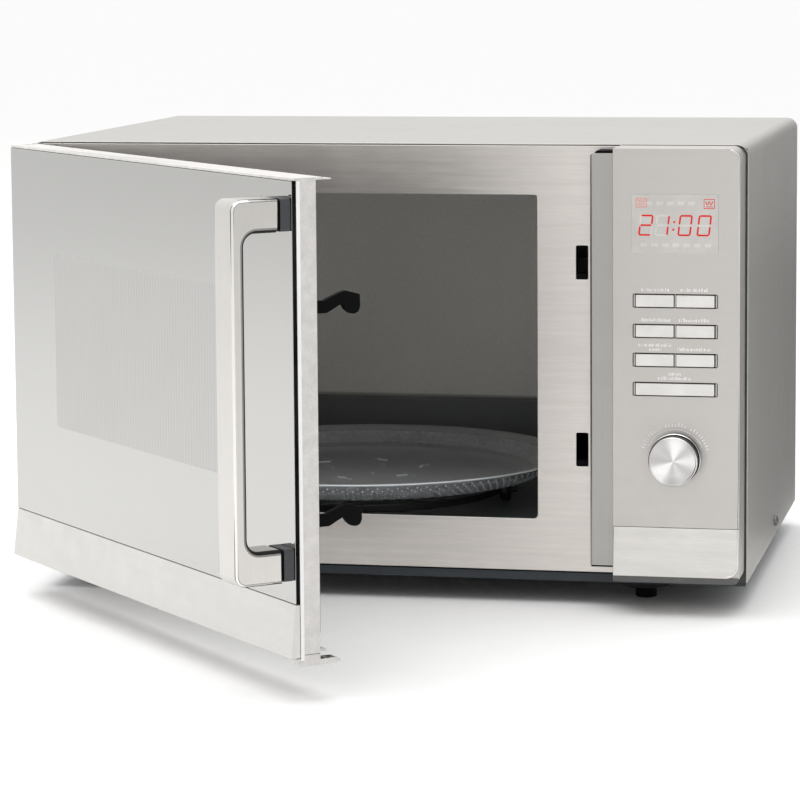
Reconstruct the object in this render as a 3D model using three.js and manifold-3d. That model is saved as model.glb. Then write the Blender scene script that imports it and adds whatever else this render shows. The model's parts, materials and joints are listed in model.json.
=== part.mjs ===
// A countertop microwave oven with its door ajar, in millimetres: +X right, +Y back, +Z up.
// Inside the model x = 0 is the middle of the cabinet, y = 0 the face of the front plate and
// z = 0 the lower edge of the cover. At the end the group is moved so that the origin is the
// centre of the whole object's box, on the surface that it stands on.
import * as THREE from "three";
import { mergeVertices } from "three/addons/utils/BufferGeometryUtils.js";
import Module from "manifold-3d";

const wasm = await Module();
wasm.setup();

// Driving dimensions.
const gap = 0.3; // between pieces that touch
const arcSteps = 4; // segments in each rounded corner
const sheet = 1.2; // pressed steel
const cover = { half: 260, top: 309, depth: 365, bend: 8, steel: 1 };
const plate = { left: -258.7, right: 168.7, bottom: 4.8, top: 307.7 };
const opening = { left: -220.7, right: 110.7, bottom: 42, top: 272.9, corners: [3.5, 2, 2, 3.5] };
const cavity = { left: -221, right: 111, floor: 25, roof: 283, back: 345, wall: 1 };
const ledge = { top: 82, deep: 6 }; // step low on the cavity's back wall
const slot = { left: 138.7, right: 147, height: 24, bottoms: [80.4, 213.4] };
const panel = { left: 169.6, right: 257.9, front: -34, bottom: 5, top: 308.2, wall: 2 };
const panelCorners = [5.5, 8, 1, 1];
const panelTrim = { bottom: 9.8, top: 44, slope: 3, thick: 1.3, corner: 9 };
const channel = { left: 151, front: -16.7, bottom: 13, top: 303.5 };
const screen = { left: 182.7, right: 243.1, bottom: 236.1, top: 276.7, thick: 1.6 };
const keys = { left: 183.6, right: 242.6, height: 9.8, bottoms: [197.8, 176.8, 156.6, 136.3] };
const dial = { x: 213.3, z: 92.6, foot: 18.1, face: 16.3, out: 14, shaft: 3 };
const door = { left: -262, right: 168, bottom: 8.3, top: 307.7, front: -34, back: -2.5 };
const doorWall = { side: -17.2, top: -12, front: -30.7 };
const toe = { wide: 9, back: -5.5, pinRadius: 1.4 }; // foot of the door at its latch edge
const doorTrim = { top: 43.9, slope: 4 };
const hinge = { x: -255.6, y: -23, open: 48.25, pin: 2.4, arm: 4.5 };
const view = { left: -190, right: 80, bottom: 111, top: 236 }; // see-through part of the door
const grip = { left: 145, right: 169, bottom: 58.5, top: 296, front: -76, thick: 9, arm: 21 };
const spacer = { thick: 8.7, front: -43 };
const hook = { x: 142, thick: 4.5, spacing: 134.6, barBottom: 75, barTop: 245 };
const choke = { left: -249, right: 147.4, bottom: 18, top: 298, face: -6, back: -9, corner: 3, wall: 2 };
const latchStep = 136; // the choke cover is lower between here and its latch edge
const spring = { seat: 46.5, coil: 2.6, wire: 0.5, turns: 5 };
const tray = { x: -55, y: 172, radius: 157.5, bottom: 43.5, glass: 4, rim: 60 };
const track = { radius: 112, roller: 9, width: 6, axle: 2 };
const foot = { x: 183, front: 40, rear: 325, radius: 7.6, bottom: -19 };
const boss = { top: 35, bottom: 17.5, drop: 7.8 }; // pressed seat of each foot
const base = { skin: -2.5, flange: 22 };
const screw = { y: 197, z: 11.5, hole: 2.2 }; // holds the cover to the base on the right side
const fan = { x: 190, y: 338, z: 225, radius: 46, blades: 5, pitch: 0.5 };
const shroud = { half: 58, near: 10, far: 16, armBack: 52 };
const fanDrive = { half: [30, 24], back: 48.7, front: 26, can: 16, bore: 3 };
const vents = [
  { x: 190, z: 225, rows: 7, columns: 3, width: 24 },
  { x: -165, z: 245, rows: 4, columns: 2, width: 30 },
];
const ventPitch = { row: 11, space: 6, tall: 4.4 };
const gland = { x: 200, z: 40, hole: 8, flange: 11, neck: 7.4, cord: 3.8 };
const feed = { y: [150, 222], z: [150, 206], duct: { y: [140, 232], z: [140, 216] } };
const mast = { y: 182, z: 173, anode: 19, antenna: 9 }; // the magnetron's axis
const cooler = { x: [150, 232], y: [150, 215], z: [138, 208], wall: 4, fins: 6, pitch: 11, fin: 1.5 };
const core = { x: [128, 228], y: [130, 200], z: [4, 80] };
const winding = { x: [148, 208], y: [108, 222], z: [20, 64], corner: 14 };
const can = { x: [150, 232], y: [252, 286], z: [2, 72], corner: 16.9, lugs: [176, 206] };
const filter = { x: [140, 230], y: [250, 318], z: [100, 101.6] };
const motor = { radius: 24, low: 7, high: 22, ear: 32, bore: 4 }; // turns the tray
const lamp = { y: 250, z: 240, hole: 14, reach: 34 };
const holder = { x: [149.5, 152], y: 40, z: [68, 250] }; // carries the two interlock switches
const interlock = { x: [152.4, 162.6], y: [8, 36], tall: 16, lower: 82, upper: 212 };
const board = { x: [174, 255], y: [-22, -20.4], z: [52, 290] };

// Geometry helpers. Ranges are pairs [low, high].
function block([x0, x1], [y0, y1], [z0, z1]) {
  const box = new THREE.BoxGeometry(x1 - x0, y1 - y0, z1 - z0);
  return box.translate((x0 + x1) / 2, (y0 + y1) / 2, (z0 + z1) / 2);
}

function rod(radius, length, axis, at, segments = 20) {
  const made = new THREE.CylinderGeometry(radius, radius, length, segments);
  if (axis === "x") made.rotateZ(-Math.PI / 2);
  if (axis === "z") made.rotateX(Math.PI / 2);
  return made.translate(...at);
}

// Turns [radius, height] points about the Z axis; the profile runs outside upwards.
function turned(points, segments = 24) {
  const profile = points.map(([r, h]) => new THREE.Vector2(r, h));
  return new THREE.LatheGeometry(profile, segments).rotateX(Math.PI / 2);
}

function outline(points) {
  return new THREE.Shape(points.map(([u, v]) => new THREE.Vector2(u, v)));
}

// A rectangle with its own radius at each corner: lower right, upper right, upper left, lower left.
function rounded([u0, u1], [v0, v1], radii) {
  const [lr, ur, ul, ll] = Array.isArray(radii) ? radii : [radii, radii, radii, radii];
  const shape = new THREE.Shape();
  const corner = (u, v, r, from) => {
    if (r > 0) shape.absarc(u, v, r, from, from + Math.PI / 2, false);
    else shape.lineTo(u, v);
  };
  shape.moveTo(u0 + ll, v0);
  corner(u1 - lr, v0 + lr, lr, -Math.PI / 2);
  corner(u1 - ur, v1 - ur, ur, 0);
  corner(u0 + ul, v1 - ul, ul, Math.PI / 2);
  corner(u0 + ll, v0 + ll, ll, Math.PI);
  return shape;
}

function extruded(shape, depth, bevel = 0) {
  const options = { depth: depth - 2 * bevel, curveSegments: arcSteps, bevelEnabled: bevel > 0 };
  Object.assign(options, { bevelSize: bevel, bevelThickness: bevel, bevelSegments: 1 });
  options.bevelOffset = -bevel;
  return new THREE.ExtrudeGeometry(shape, options).translate(0, 0, bevel);
}

// Shapes drawn in the XZ, YZ and XY planes, extruded along the remaining axis.
function alongY(shape, [y0, y1]) {
  return extruded(shape, y1 - y0).rotateX(Math.PI / 2).translate(0, y1, 0);
}

function alongX(shape, [x0, x1], bevel = 0) {
  const axes = new THREE.Matrix4().makeBasis(
    new THREE.Vector3(0, 1, 0),
    new THREE.Vector3(0, 0, 1),
    new THREE.Vector3(1, 0, 0),
  );
  return extruded(shape, x1 - x0, bevel).applyMatrix4(axes).translate(x0, 0, 0);
}

function alongZ(shape, [z0, z1]) {
  return extruded(shape, z1 - z0).translate(0, 0, z0);
}

// Boolean cuts and joins.
function solidOf(geometry) {
  const bare = new THREE.BufferGeometry();
  const loose = geometry.index ? geometry.toNonIndexed() : geometry;
  bare.setAttribute("position", loose.getAttribute("position").clone());
  const merged = mergeVertices(bare, 1e-4);
  return new wasm.Manifold(
    new wasm.Mesh({
      numProp: 3,
      vertProperties: merged.attributes.position.array,
      triVerts: new Uint32Array(merged.index.array),
    }),
  );
}

function geometryOf(solid) {
  const { vertProperties, triVerts } = solid.getMesh();
  const made = new THREE.BufferGeometry();
  made.setAttribute("position", new THREE.BufferAttribute(vertProperties, 3));
  return made.setIndex(new THREE.BufferAttribute(triVerts, 1));
}

function join(first, ...more) {
  return geometryOf(more.reduce((sum, g) => sum.add(solidOf(g)), solidOf(first)));
}

function cut(first, ...tools) {
  return geometryOf(tools.reduce((left, g) => left.subtract(solidOf(g)), solidOf(first)));
}

function common(first, second) {
  return geometryOf(solidOf(first).intersect(solidOf(second)));
}

// Finishes.
function finish(color, roughness, metalness, extra = {}) {
  return new THREE.MeshStandardMaterial({ color, roughness, metalness, ...extra });
}

const coverSteel = finish(0xc9c5be, 0.42, 0.85);
const brushedSteel = finish(0xbdb8b1, 0.32, 0.95);
const panelSteel = finish(0xc8c4bd, 0.4, 0.8);
const satinSteel = finish(0xd6d4cf, 0.22, 1);
const spunSteel = finish(0xdadada, 0.18, 1);
const cavityPaint = finish(0x5c5b55, 0.5, 0.4);
const zincSteel = finish(0xa7abad, 0.45, 0.9);
const basePaint = finish(0x2b3036, 0.55, 0.5);
const mirrorGlass = finish(0xcfd1d0, 0.05, 0.9);
const clearGlass = finish(0xbfcac8, 0.05, 0, { transparent: true, opacity: 0.4 });
const blackPlastic = finish(0x0b0b0c, 0.45, 0);
const greyPlastic = finish(0x4c4f52, 0.5, 0);
const whitePlastic = finish(0xe6e3da, 0.5, 0);
const rubber = finish(0x141414, 0.85, 0);
const mica = finish(0xb9a884, 0.6, 0);
const copper = finish(0xb0653a, 0.35, 0.9);
const ironCore = finish(0x4a4744, 0.6, 0.6);
const circuitGreen = finish(0x1f5a38, 0.55, 0);

function piece(name, geometry, material, parent) {
  const flat = geometry.index ? geometry.toNonIndexed() : geometry;
  flat.computeVertexNormals();
  const mesh = new THREE.Mesh(flat, material);
  mesh.name = name;
  parent.add(mesh);
}

// Cabinet: cover, plates and cavity.
function coverShell() {
  const { half, top, bend, steel } = cover;
  const outer = rounded([-half, half], [0, top], [0, bend, bend, 0]);
  const inner = rounded([steel - half, half - steel], [-1, top - steel], [
    0, bend - steel, bend - steel, 0,
  ]);
  const screwHole = rod(screw.hole, 8, "x", [half, screw.y, screw.z], 12);
  const slotBelow = rod(screw.hole, 8, "x", [half, screw.y + 7, screw.z - 6], 12);
  const shell = cut(alongY(outer, [0, cover.depth]), alongY(inner, [-1, cover.depth + 1]));
  return cut(shell, screwHole, slotBelow);
}

function frontPlate() {
  const edge = rounded([plate.left, plate.right], [plate.bottom, plate.top], [0, 0, cover.bend, 0]);
  const body = alongY(edge, [0, sheet]);
  const { left, right, bottom, top, corners } = opening;
  const mouth = alongY(rounded([left, right], [bottom, top], corners), [-1, sheet + 1]);
  const slots = slot.bottoms.map((z) =>
    alongY(rounded([slot.left, slot.right], [z, z + slot.height], 1), [-1, sheet + 1]),
  );
  return cut(body, mouth, ...slots);
}

function cavityShell() {
  const { left, right, floor, roof, back, wall } = cavity;
  const front = sheet + gap;
  const outer = block([left - wall, right + wall], [front, back + wall], [floor - wall, roof + wall]);
  const inside = block([left, right], [front - 1, back], [floor, roof]);
  const step = block([left - wall / 2, right + wall / 2], [back - ledge.deep, back + wall / 2], [
    floor - wall / 2, ledge.top,
  ]);
  const driveHole = rod(8, 10, "z", [tray.x, tray.y, floor]);
  const feedHole = block([right - wall, right + 2 * wall], feed.y, feed.z);
  const lampHole = rod(lamp.hole, 6, "x", [right, lamp.y, lamp.z], 12);
  return cut(join(cut(outer, inside), step), driveHole, feedHole, lampHole);
}

function rearPanel() {
  const y1 = cover.depth - 2;
  const edge = rounded([plate.left, -plate.left], [1.3, plate.top], [0, cover.bend, cover.bend, 0]);
  const body = alongY(edge, [y1 - sheet, y1]);
  const slits = [];
  const half = ventPitch.tall / 2;
  for (const { x, z, rows, columns, width } of vents)
    for (let r = 0; r < rows; r++)
      for (let c = 0; c < columns; c++) {
        const u = x + (c - (columns - 1) / 2) * (width + ventPitch.space);
        const v = z + (r - (rows - 1) / 2) * ventPitch.row;
        slits.push(block([u - width / 2, u + width / 2], [y1 - 3, y1 + 1], [v - half, v + half]));
      }
  const glandHole = rod(gland.hole, 6, "y", [gland.x, y1, gland.z], 16);
  return cut(body, ...slits, glandHole);
}

function frustum(top, bottom, z0, z1, x, y) {
  const made = new THREE.CylinderGeometry(top, bottom, z1 - z0, 16);
  return made.rotateX(Math.PI / 2).translate(x, y, (z0 + z1) / 2);
}

function eachFoot(make) {
  return [-foot.x, foot.x].flatMap((x) => [foot.front, foot.rear].map((y) => make(x, y)));
}

function basePlate() {
  const inner = cover.half - cover.steel - gap;
  const ends = [sheet + gap, cover.depth - 2 - sheet - gap];
  const tub = cut(
    block([-inner, inner], ends, [base.skin, plate.bottom - 1]),
    block([sheet - inner, inner - sheet], [ends[0] + sheet, ends[1] - sheet], [
      base.skin + sheet, plate.bottom,
    ]),
  );
  const low = base.skin - boss.drop;
  const seats = eachFoot((x, y) => frustum(boss.top, boss.bottom, low, base.skin + 0.1, x, y));
  const hollows = eachFoot((x, y) =>
    frustum(boss.top, boss.bottom, low + sheet, base.skin + sheet + 0.2, x, y),
  );
  const flanges = [-inner, inner - sheet].map((x) =>
    block([x, x + sheet], ends, [base.skin, base.flange]),
  );
  const screwHole = rod(screw.hole, 20, "x", [inner, screw.y, screw.z], 12);
  return cut(join(tub, ...flanges, ...seats), ...hollows, screwHole);
}

function footPad() {
  const { radius } = foot;
  const top = base.skin - boss.drop - gap;
  return turned(
    [[0, foot.bottom], [radius - 1.5, foot.bottom], [radius, foot.bottom + 1.5], [radius, top], [0, top]],
    16,
  );
}

// Control panel.
function panelHousing() {
  const { left, right, front, bottom, top, wall } = panel;
  const body = alongY(rounded([left, right], [bottom, top], panelCorners), [front, -gap]);
  const inside = alongY(
    rounded(
      [left + wall, right - wall],
      [bottom + wall, top - wall],
      panelCorners.map((radius) => Math.max(radius - wall, 0)),
    ),
    [front + wall, 1],
  );
  const trimSeat = block([left - 1, right + 1], [front - 1, front + panelTrim.thick], [
    bottom - 1, panelTrim.top + gap,
  ]);
  const window = block([screen.left + 2, screen.right - 2], [front - 1, front + 5], [
    screen.bottom + 2, screen.top - 2,
  ]);
  const windowSeat = block([screen.left, screen.right], [front - 1, front + screen.thick], [
    screen.bottom, screen.top,
  ]);
  const keyholes = keys.bottoms.map((z) =>
    alongY(rounded([keys.left, keys.right], [z, z + keys.height], 1), [front - 1, front + 5]),
  );
  const shaftHole = rod(5, 10, "y", [dial.x, front, dial.z], 16);
  return cut(body, inside, trimSeat, window, windowSeat, ...keyholes, shaftHole);
}

function panelLowerTrim() {
  const { front, left, right } = panel;
  const back = front + panelTrim.thick - gap;
  const section = outline([
    [back, panelTrim.bottom],
    [back, panelTrim.top],
    [front, panelTrim.top],
    [front - panelTrim.slope, panelTrim.bottom],
  ]);
  const face = alongY(
    rounded([left + gap, right - gap], [panelTrim.bottom, panelTrim.top], [
      panelTrim.corner, 0, 0, 0,
    ]),
    [front - 2 * panelTrim.slope, back + 1],
  );
  return common(alongX(section, [left, right]), face);
}

function sideChannel() {
  const { left, front, bottom, top } = channel;
  const right = panel.left - gap;
  const skin = 1.8;
  return cut(
    alongZ(rounded([left, right], [front, -gap], [0, 0, 0, 1.5]), [bottom, top]),
    block([left + skin, right - skin], [front + skin, 1], [bottom + skin, top - skin]),
  );
}

function displayWindow() {
  const y0 = panel.front + 0.1;
  return block([screen.left + gap, screen.right - gap], [y0, panel.front + screen.thick - gap], [
    screen.bottom + gap, screen.top - gap,
  ]);
}

function displayModule() {
  const y0 = panel.front + panel.wall + gap;
  return join(
    block([186, 240], [y0, -25], [240, 273]),
    block([189, 237], [-25.1, board.y[0] - 0.4], [245, 268]),
  );
}

function keyCap(left, right, bottom) {
  const cap = block([left, right], [panel.front - 1.2, panel.front + 3], [
    bottom + 0.8, bottom + keys.height - 0.8,
  ]);
  const middle = (left + right) / 2;
  return join(cap, rod(2.2, 6, "y", [middle, panel.front + 5.5, bottom + keys.height / 2], 10));
}

function knobBody() {
  const { foot: rim, face, out, shaft } = dial;
  const body = turned(
    [
      [0, 0.8],
      [rim - 1, 0.8],
      [rim, 1.8],
      [rim, 4],
      [face + 0.8, out - 1.6],
      [face - 0.6, out],
      [face - 2.2, out - 0.4],
      [0, out - 0.9],
    ],
    28,
  );
  const bore = rod(shaft + gap, 16, "z", [0, 0, 1], 16);
  return cut(body, bore).rotateX(Math.PI / 2).translate(dial.x, panel.front, dial.z);
}

function encoder() {
  const middle = [dial.x, -26.2, dial.z];
  const body = join(
    block([dial.x - 7, dial.x + 7], [-30, board.y[0] - 0.4], [dial.z - 7, dial.z + 7]),
    rod(4.6, 6, "y", [dial.x, -31.5, dial.z], 16),
  );
  return cut(body, rod(dial.shaft + gap, 40, "y", middle, 16));
}

function controlBoard() {
  const sunk = board.y[1] - 0.1;
  const relays = [[200, 70], [226, 70], [200, 250]];
  const boxes = relays.map(([x, z]) => block([x, x + 15], [sunk, -7], [z, z + 18]));
  const socket = block([180, 190], [sunk, -14], [150, 190]);
  return join(block(board.x, board.y, board.z), ...boxes, socket);
}

// Machinery behind the control panel.
function interlockHolder() {
  const back = sheet + gap;
  const [left, right] = holder.x;
  const wall = block(holder.x, [back, holder.y], holder.z);
  const catches = slot.bottoms.map((z) => block([138, left + 0.5], [back, 11], [z - 6, z + 4]));
  const foot = block([left, right + 6], [back, back + 2], [140, 178]);
  return join(wall, ...catches, foot);
}

function microSwitch(z) {
  const right = interlock.x[1];
  const body = block(interlock.x, interlock.y, [z, z + interlock.tall]);
  const terminals = [12, 21, 30].map((y) => block([right - 0.6, right + 5.4], [y, y + 3], [z + 7, z + 8]));
  const plunger = block([155, 160], [interlock.y[0] - 3.5, interlock.y[0] + 0.5], [z + 6, z + 10]);
  return join(body, ...terminals, plunger);
}

function magnetron() {
  const { x, y, z, wall, pitch, fin } = cooler;
  const inset = ([low, high], by) => [low + by, high - by];
  const box = cut(block(x, y, z), block(inset(x, wall), inset(y, -1), inset(z, wall)));
  const fins = Array.from({ length: cooler.fins }, (_, i) => {
    const low = x[0] + 10 + i * pitch;
    return block([low, low + fin], inset(y, 2), inset(z, wall - 1));
  });
  const anode = rod(mast.anode, 80, "x", [(x[0] + x[1]) / 2 - 1, mast.y, mast.z], 12);
  const antenna = rod(mast.antenna, 26, "x", [x[0] - 12, mast.y, mast.z], 12);
  return join(box, ...fins, anode, antenna);
}

function waveguide() {
  const start = cavity.right + cavity.wall + gap;
  const end = cooler.x[0] - 1;
  const { y, z } = feed.duct;
  const wall = 4;
  const duct = cut(
    block([start, end], y, z),
    block([start - 1, end - 1.4], [y[0] + wall, y[1] - wall], [z[0] + wall, z[1] - wall]),
  );
  return cut(duct, rod(mast.antenna + 2, 10, "x", [end, mast.y, mast.z], 16));
}

function waveguideCover() {
  const x1 = cavity.right - gap;
  const lap = 8; // beyond the feed hole
  const [y, z] = [feed.y, feed.z].map(([low, high]) => [low - lap, high + lap]);
  return alongX(rounded(y, z, 4), [x1 - 0.6, x1]);
}

function transformer() {
  const windings = alongZ(rounded(winding.x, winding.y, winding.corner), winding.z);
  const flange = block([core.x[0] - 8, core.x[1] + 8], [core.y[0] + 8, core.y[1] - 8], [
    0.2, core.z[0] + 0.5,
  ]);
  return join(block(core.x, core.y, core.z), windings, flange);
}

function capacitor() {
  const middle = (can.y[0] + can.y[1]) / 2;
  const top = can.z[1];
  const lugs = can.lugs.map((x) => block([x - 3, x + 3], [middle - 0.5, middle + 0.5], [top - 1, top + 12]));
  return join(alongZ(rounded(can.x, can.y, can.corner), can.z), ...lugs);
}

function fanShroud() {
  const { x, y, z, radius } = fan;
  const { half, near, far, armBack } = shroud;
  const arm = 6; // thickness of the arms that carry the motor
  const frame = block([x - half, x + half], [y + near, y + far], [z - half, z + half]);
  const throat = rod(radius + 3, 20, "y", [x, y + 13, z], 20);
  const lip = cut(
    rod(radius + 6, 16, "y", [x, y + 6, z], 20),
    rod(radius + 3, 30, "y", [x, y + 6, z], 20),
  );
  const arms = [x - half + 1, x + half - 1 - arm].map((left) =>
    block([left, left + arm], [y - armBack, y + near + 1], [z - arm, z + arm]),
  );
  const bridge = block([x - half + 1, x + half - 1], [y - armBack, y - armBack + 3], [z - arm, z + arm]);
  return join(cut(frame, throat), lip, ...arms, bridge);
}

function fanMotor() {
  const { x, y, z } = fan;
  const { half, back, front, bore } = fanDrive;
  const stack = block([x - half[0], x + half[0]], [y - back, y - front], [z - half[1], z + half[1]]);
  const bell = rod(fanDrive.can, 14, "y", [x, y - 20, z], 20);
  return cut(join(stack, bell), rod(bore, 24, "y", [x, y - 14, z], 12));
}

function fanBlade() {
  const { x, y, z, radius, blades, pitch } = fan;
  const hub = rod(14, 15, "y", [0, 1, 0], 20);
  const spindle = rod(fanDrive.bore - 0.5, 22, "y", [0, -14, 0], 12);
  const vanes = [];
  for (let i = 0; i < blades; i++) {
    const vane = block([10, radius], [-0.8, 0.8], [-11, 11]);
    vane.rotateX(pitch).rotateY((i * 2 * Math.PI) / blades);
    vanes.push(vane);
  }
  return join(hub, spindle, ...vanes).translate(x, y, z);
}

function filterBoard() {
  const sunk = filter.z[1] - 0.1;
  return join(
    block(filter.x, filter.y, filter.z),
    block([150, 176], [262, 290], [sunk, 124]),
    rod(4, 26, "x", [206, 300, 105], 12),
    block([190, 220], [262, 280], [sunk, 113]),
  );
}

function turntableMotor() {
  const { radius, low, high, ear, bore } = motor;
  const middle = (low + high) / 2;
  const body = rod(radius, high - low, "z", [tray.x, tray.y, middle], 24);
  const lug = block([tray.x - ear, tray.x + ear], [tray.y - 6, tray.y + 6], [high - 1, high + 1.4]);
  return cut(join(body, lug), rod(bore, 2 * (high - low), "z", [tray.x, tray.y, middle], 16));
}

function ovenLamp() {
  const bulb = turned([[0, 0], [9, 0], [9, 12], [11, 20], [9, 27], [4, 31], [0, 32]], 16);
  return bulb.rotateY(-Math.PI / 2).translate(cavity.right + lamp.reach, lamp.y, lamp.z);
}

function cordGland() {
  const { x, z, flange, neck, cord } = gland;
  const y1 = cover.depth - 2;
  const body = join(
    rod(flange, 4, "y", [x, y1 + 2.2, z], 20),
    rod(neck, 12, "y", [x, y1 - 3, z], 20),
  );
  return cut(body, rod(cord, 30, "y", [x, y1, z], 12));
}

function coverScrew() {
  const head = turned([[0, -6], [1.8, -6], [1.8, 0], [4.2, 0.2], [4, 1.6], [2.6, 2.4], [0, 2.6]], 16);
  return head.rotateY(Math.PI / 2);
}

// Hinge bracket: an arm out of the front plate with a pin at its round end.
function hingeBracket(arms, pin, tab) {
  const { x, y, arm } = hinge;
  const shape = new THREE.Shape();
  shape.moveTo(x + arm, -gap);
  shape.lineTo(x - arm, -gap);
  shape.lineTo(x - arm, y);
  shape.absarc(x, y, arm, Math.PI, 2 * Math.PI, false);
  shape.closePath();
  const pinBody = rod(hinge.pin, pin[1] - pin[0], "z", [x, y, (pin[0] + pin[1]) / 2], 16);
  return join(alongZ(shape, arms), pinBody, block([x - arm, x + 14], [-1.5, -gap], tab));
}

// Door, in its closed place.
function doorFrame() {
  const { left, right, bottom, top, front, back } = door;
  const steel = 1.5;
  const web = block([left, right], [doorWall.front, doorWall.front + 1], [bottom, top]);
  const hole = block([view.left - 5, view.right + 5], [front, back], [view.bottom - 5, view.top + 5]);
  const topFlange = block([left, right], [front, doorWall.top], [top - steel, top]);
  const lip = block([left + 12, right], [doorWall.top - 0.1, doorWall.top + 5.5], [
    top - steel, top - steel / 2,
  ]);
  const bottomFlange = block([left, right], [front, doorWall.side], [bottom, bottom + steel]);
  const bottomShelf = block([left, right - 20], [doorWall.side - 0.1, back], [bottom, bottom + steel]);
  const latchSide = block([right - sheet, right], [doorWall.front, doorWall.side], [bottom, top]);
  const hingeSide = block([left, left + sheet], [doorWall.front, back], [18, 298]);
  const pinHole = rod(hinge.pin + 0.4, 400, "z", [hinge.x, hinge.y, 150], 16);
  const pad = block([right - toe.wide, right], [front + 3, toe.back], [bottom - 3.7, bottom + 0.1]);
  const pinLength = back - toe.back + 1;
  const pin = rod(toe.pinRadius, pinLength, "y", [right - 2, back - pinLength / 2, bottom - 2], 12);
  const walls = [bottomFlange, bottomShelf, latchSide, hingeSide, pad, pin];
  const joined = join(cut(web, hole), topFlange, lip, ...walls);
  return cut(joined, pinHole);
}

function doorGlass() {
  const back = doorWall.front - gap;
  return block([door.left, door.right], [door.front, back], [
    doorTrim.top + gap, door.top - 1.5 - gap,
  ]);
}

function doorLowerTrim() {
  const back = doorWall.front - gap;
  const low = door.bottom + 1.5 + gap;
  const section = outline([
    [back, low],
    [back, doorTrim.top],
    [door.front, doorTrim.top],
    [door.front - doorTrim.slope, low],
  ]);
  return alongX(section, [door.left, door.right]);
}

// Pressed pan whose middle is the perforated screen; a lug inside holds the latch spring.
function chokePanel() {
  const front = doorWall.front + 1 + gap;
  const sides = [choke.left + 3, choke.right - 1];
  const heights = [choke.bottom + 2, choke.top - 2];
  const pan = cut(
    block(sides, [front, choke.back], heights),
    block([sides[0] + 1, sides[1] - 1], [front + 1, 0], [heights[0] + 1, heights[1] - 1]),
  );
  const lug = block([hook.x - 5, hook.x + 4], [front + 0.5, choke.back], [
    spring.seat - 3.5, spring.seat,
  ]);
  return join(pan, lug);
}

// Clear pane that closes the cover's window on the oven side.
function innerWindow() {
  const shape = rounded(
    [view.left + gap, view.right - gap],
    [view.bottom + gap, view.top - gap],
    4 - gap,
  );
  return alongY(shape, [-5.4, door.back - 0.8]);
}

function chokeCover() {
  const { left, right, bottom, top, face, back, corner, wall } = choke;
  const layer = (from, range) => alongY(rounded([from, right], [bottom, top], corner), range);
  const inside = block([left + wall, right - wall], [back - 3, 0], [bottom + wall, top - wall]);
  const lowStep = block([latchStep, right + 1], [face + 0.05, 0], [bottom - 1, top + 1]);
  const lid = cut(layer(left, [face, door.back]), lowStep);
  const skirt = cut(layer(left, [back + gap, face + 0.1]), inside);
  const edge = cut(layer(latchStep - 3, [back + gap, face + 0.1]), lowStep);
  const window = alongY(rounded([view.left, view.right], [view.bottom, view.top], 4), [back - 1, 0]);
  const slots = [0, hook.spacing].map((drop) =>
    block([hook.x - 3, hook.x + 3], [back - 1, 0], [218.6 - drop, 238.4 - drop]),
  );
  return cut(join(lid, skirt, edge), window, ...slots);
}

function handleBar() {
  const { left, right, bottom, top, front, thick, arm } = grip;
  const back = spacer.front - gap;
  const shape = new THREE.Shape();
  shape.moveTo(back, bottom);
  shape.lineTo(back, bottom + arm);
  shape.absarc(front + thick + 8, bottom + arm + 8, 8, -Math.PI / 2, -Math.PI, true);
  shape.absarc(front + thick + 8, top - arm - 8, 8, Math.PI, Math.PI / 2, true);
  shape.lineTo(back, top - arm);
  shape.lineTo(back, top);
  shape.absarc(front + 7, top - 7, 7, Math.PI / 2, Math.PI, false);
  shape.absarc(front + 7, bottom + 7, 7, Math.PI, 1.5 * Math.PI, false);
  return alongX(shape, [left, right], 1.5);
}

function handleSpacer(z0) {
  return block([grip.left + 0.5, grip.right - 1.5], [spacer.front, spacer.front + spacer.thick], [
    z0, z0 + grip.arm,
  ]);
}

function latchHooks() {
  const bar = block([hook.x - 2.25, hook.x + 2.25], [-16, -9.4], [hook.barBottom, hook.barTop]);
  const nose = [
    [-12, 220.9],
    [3, 220.9],
    [13.4, 226],
    [16, 222.3],
    [19, 219.8],
    [22.4, 219.2],
    [25.4, 220.4],
    [26.6, 223.4],
    [26.6, 231.5],
    [16, 234.4],
    [11, 233],
    [1, 228.9],
    [-12, 228.9],
  ];
  const hooks = [0, hook.spacing].map((drop) => {
    const shape = outline(nose.map(([y, z]) => [y, z - drop]));
    return alongX(shape, [hook.x - hook.thick / 2, hook.x + hook.thick / 2]);
  });
  return join(bar, ...hooks);
}

class Helix extends THREE.Curve {
  constructor(radius, turns, height) {
    super();
    Object.assign(this, { radius, turns, height });
  }
  getPoint(t, target = new THREE.Vector3()) {
    const angle = 2 * Math.PI * this.turns * t;
    const { radius, height } = this;
    return target.set(radius * Math.cos(angle), radius * Math.sin(angle), height * t);
  }
}

function latchSpring() {
  const wire = new THREE.Shape();
  wire.absarc(0, 0, spring.wire, 0, 2 * Math.PI, false);
  const margin = gap + spring.wire + 0.2;
  const height = hook.barBottom - spring.seat - 2 * margin;
  const coil = new THREE.ExtrudeGeometry(wire, {
    steps: 40,
    curveSegments: 3,
    extrudePath: new Helix(spring.coil, spring.turns, height),
  });
  return coil.translate(hook.x, -12.7, spring.seat + margin);
}

// Turntable.
function glassTray() {
  const { radius, bottom, glass, rim } = tray;
  return turned(
    [
      [0, bottom],
      [126, bottom],
      [134, bottom + 1.4],
      [147, bottom + 8.6],
      [radius - 1.6, rim - 2.8],
      [radius, rim - 1.6],
      [radius - 0.6, rim],
      [radius - 3.4, rim - 0.2],
      [145, bottom + 11.4],
      [132, bottom + glass + 0.6],
      [124, bottom + glass],
      [0, bottom + glass],
    ],
    48,
  ).translate(tray.x, tray.y, 0);
}

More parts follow.
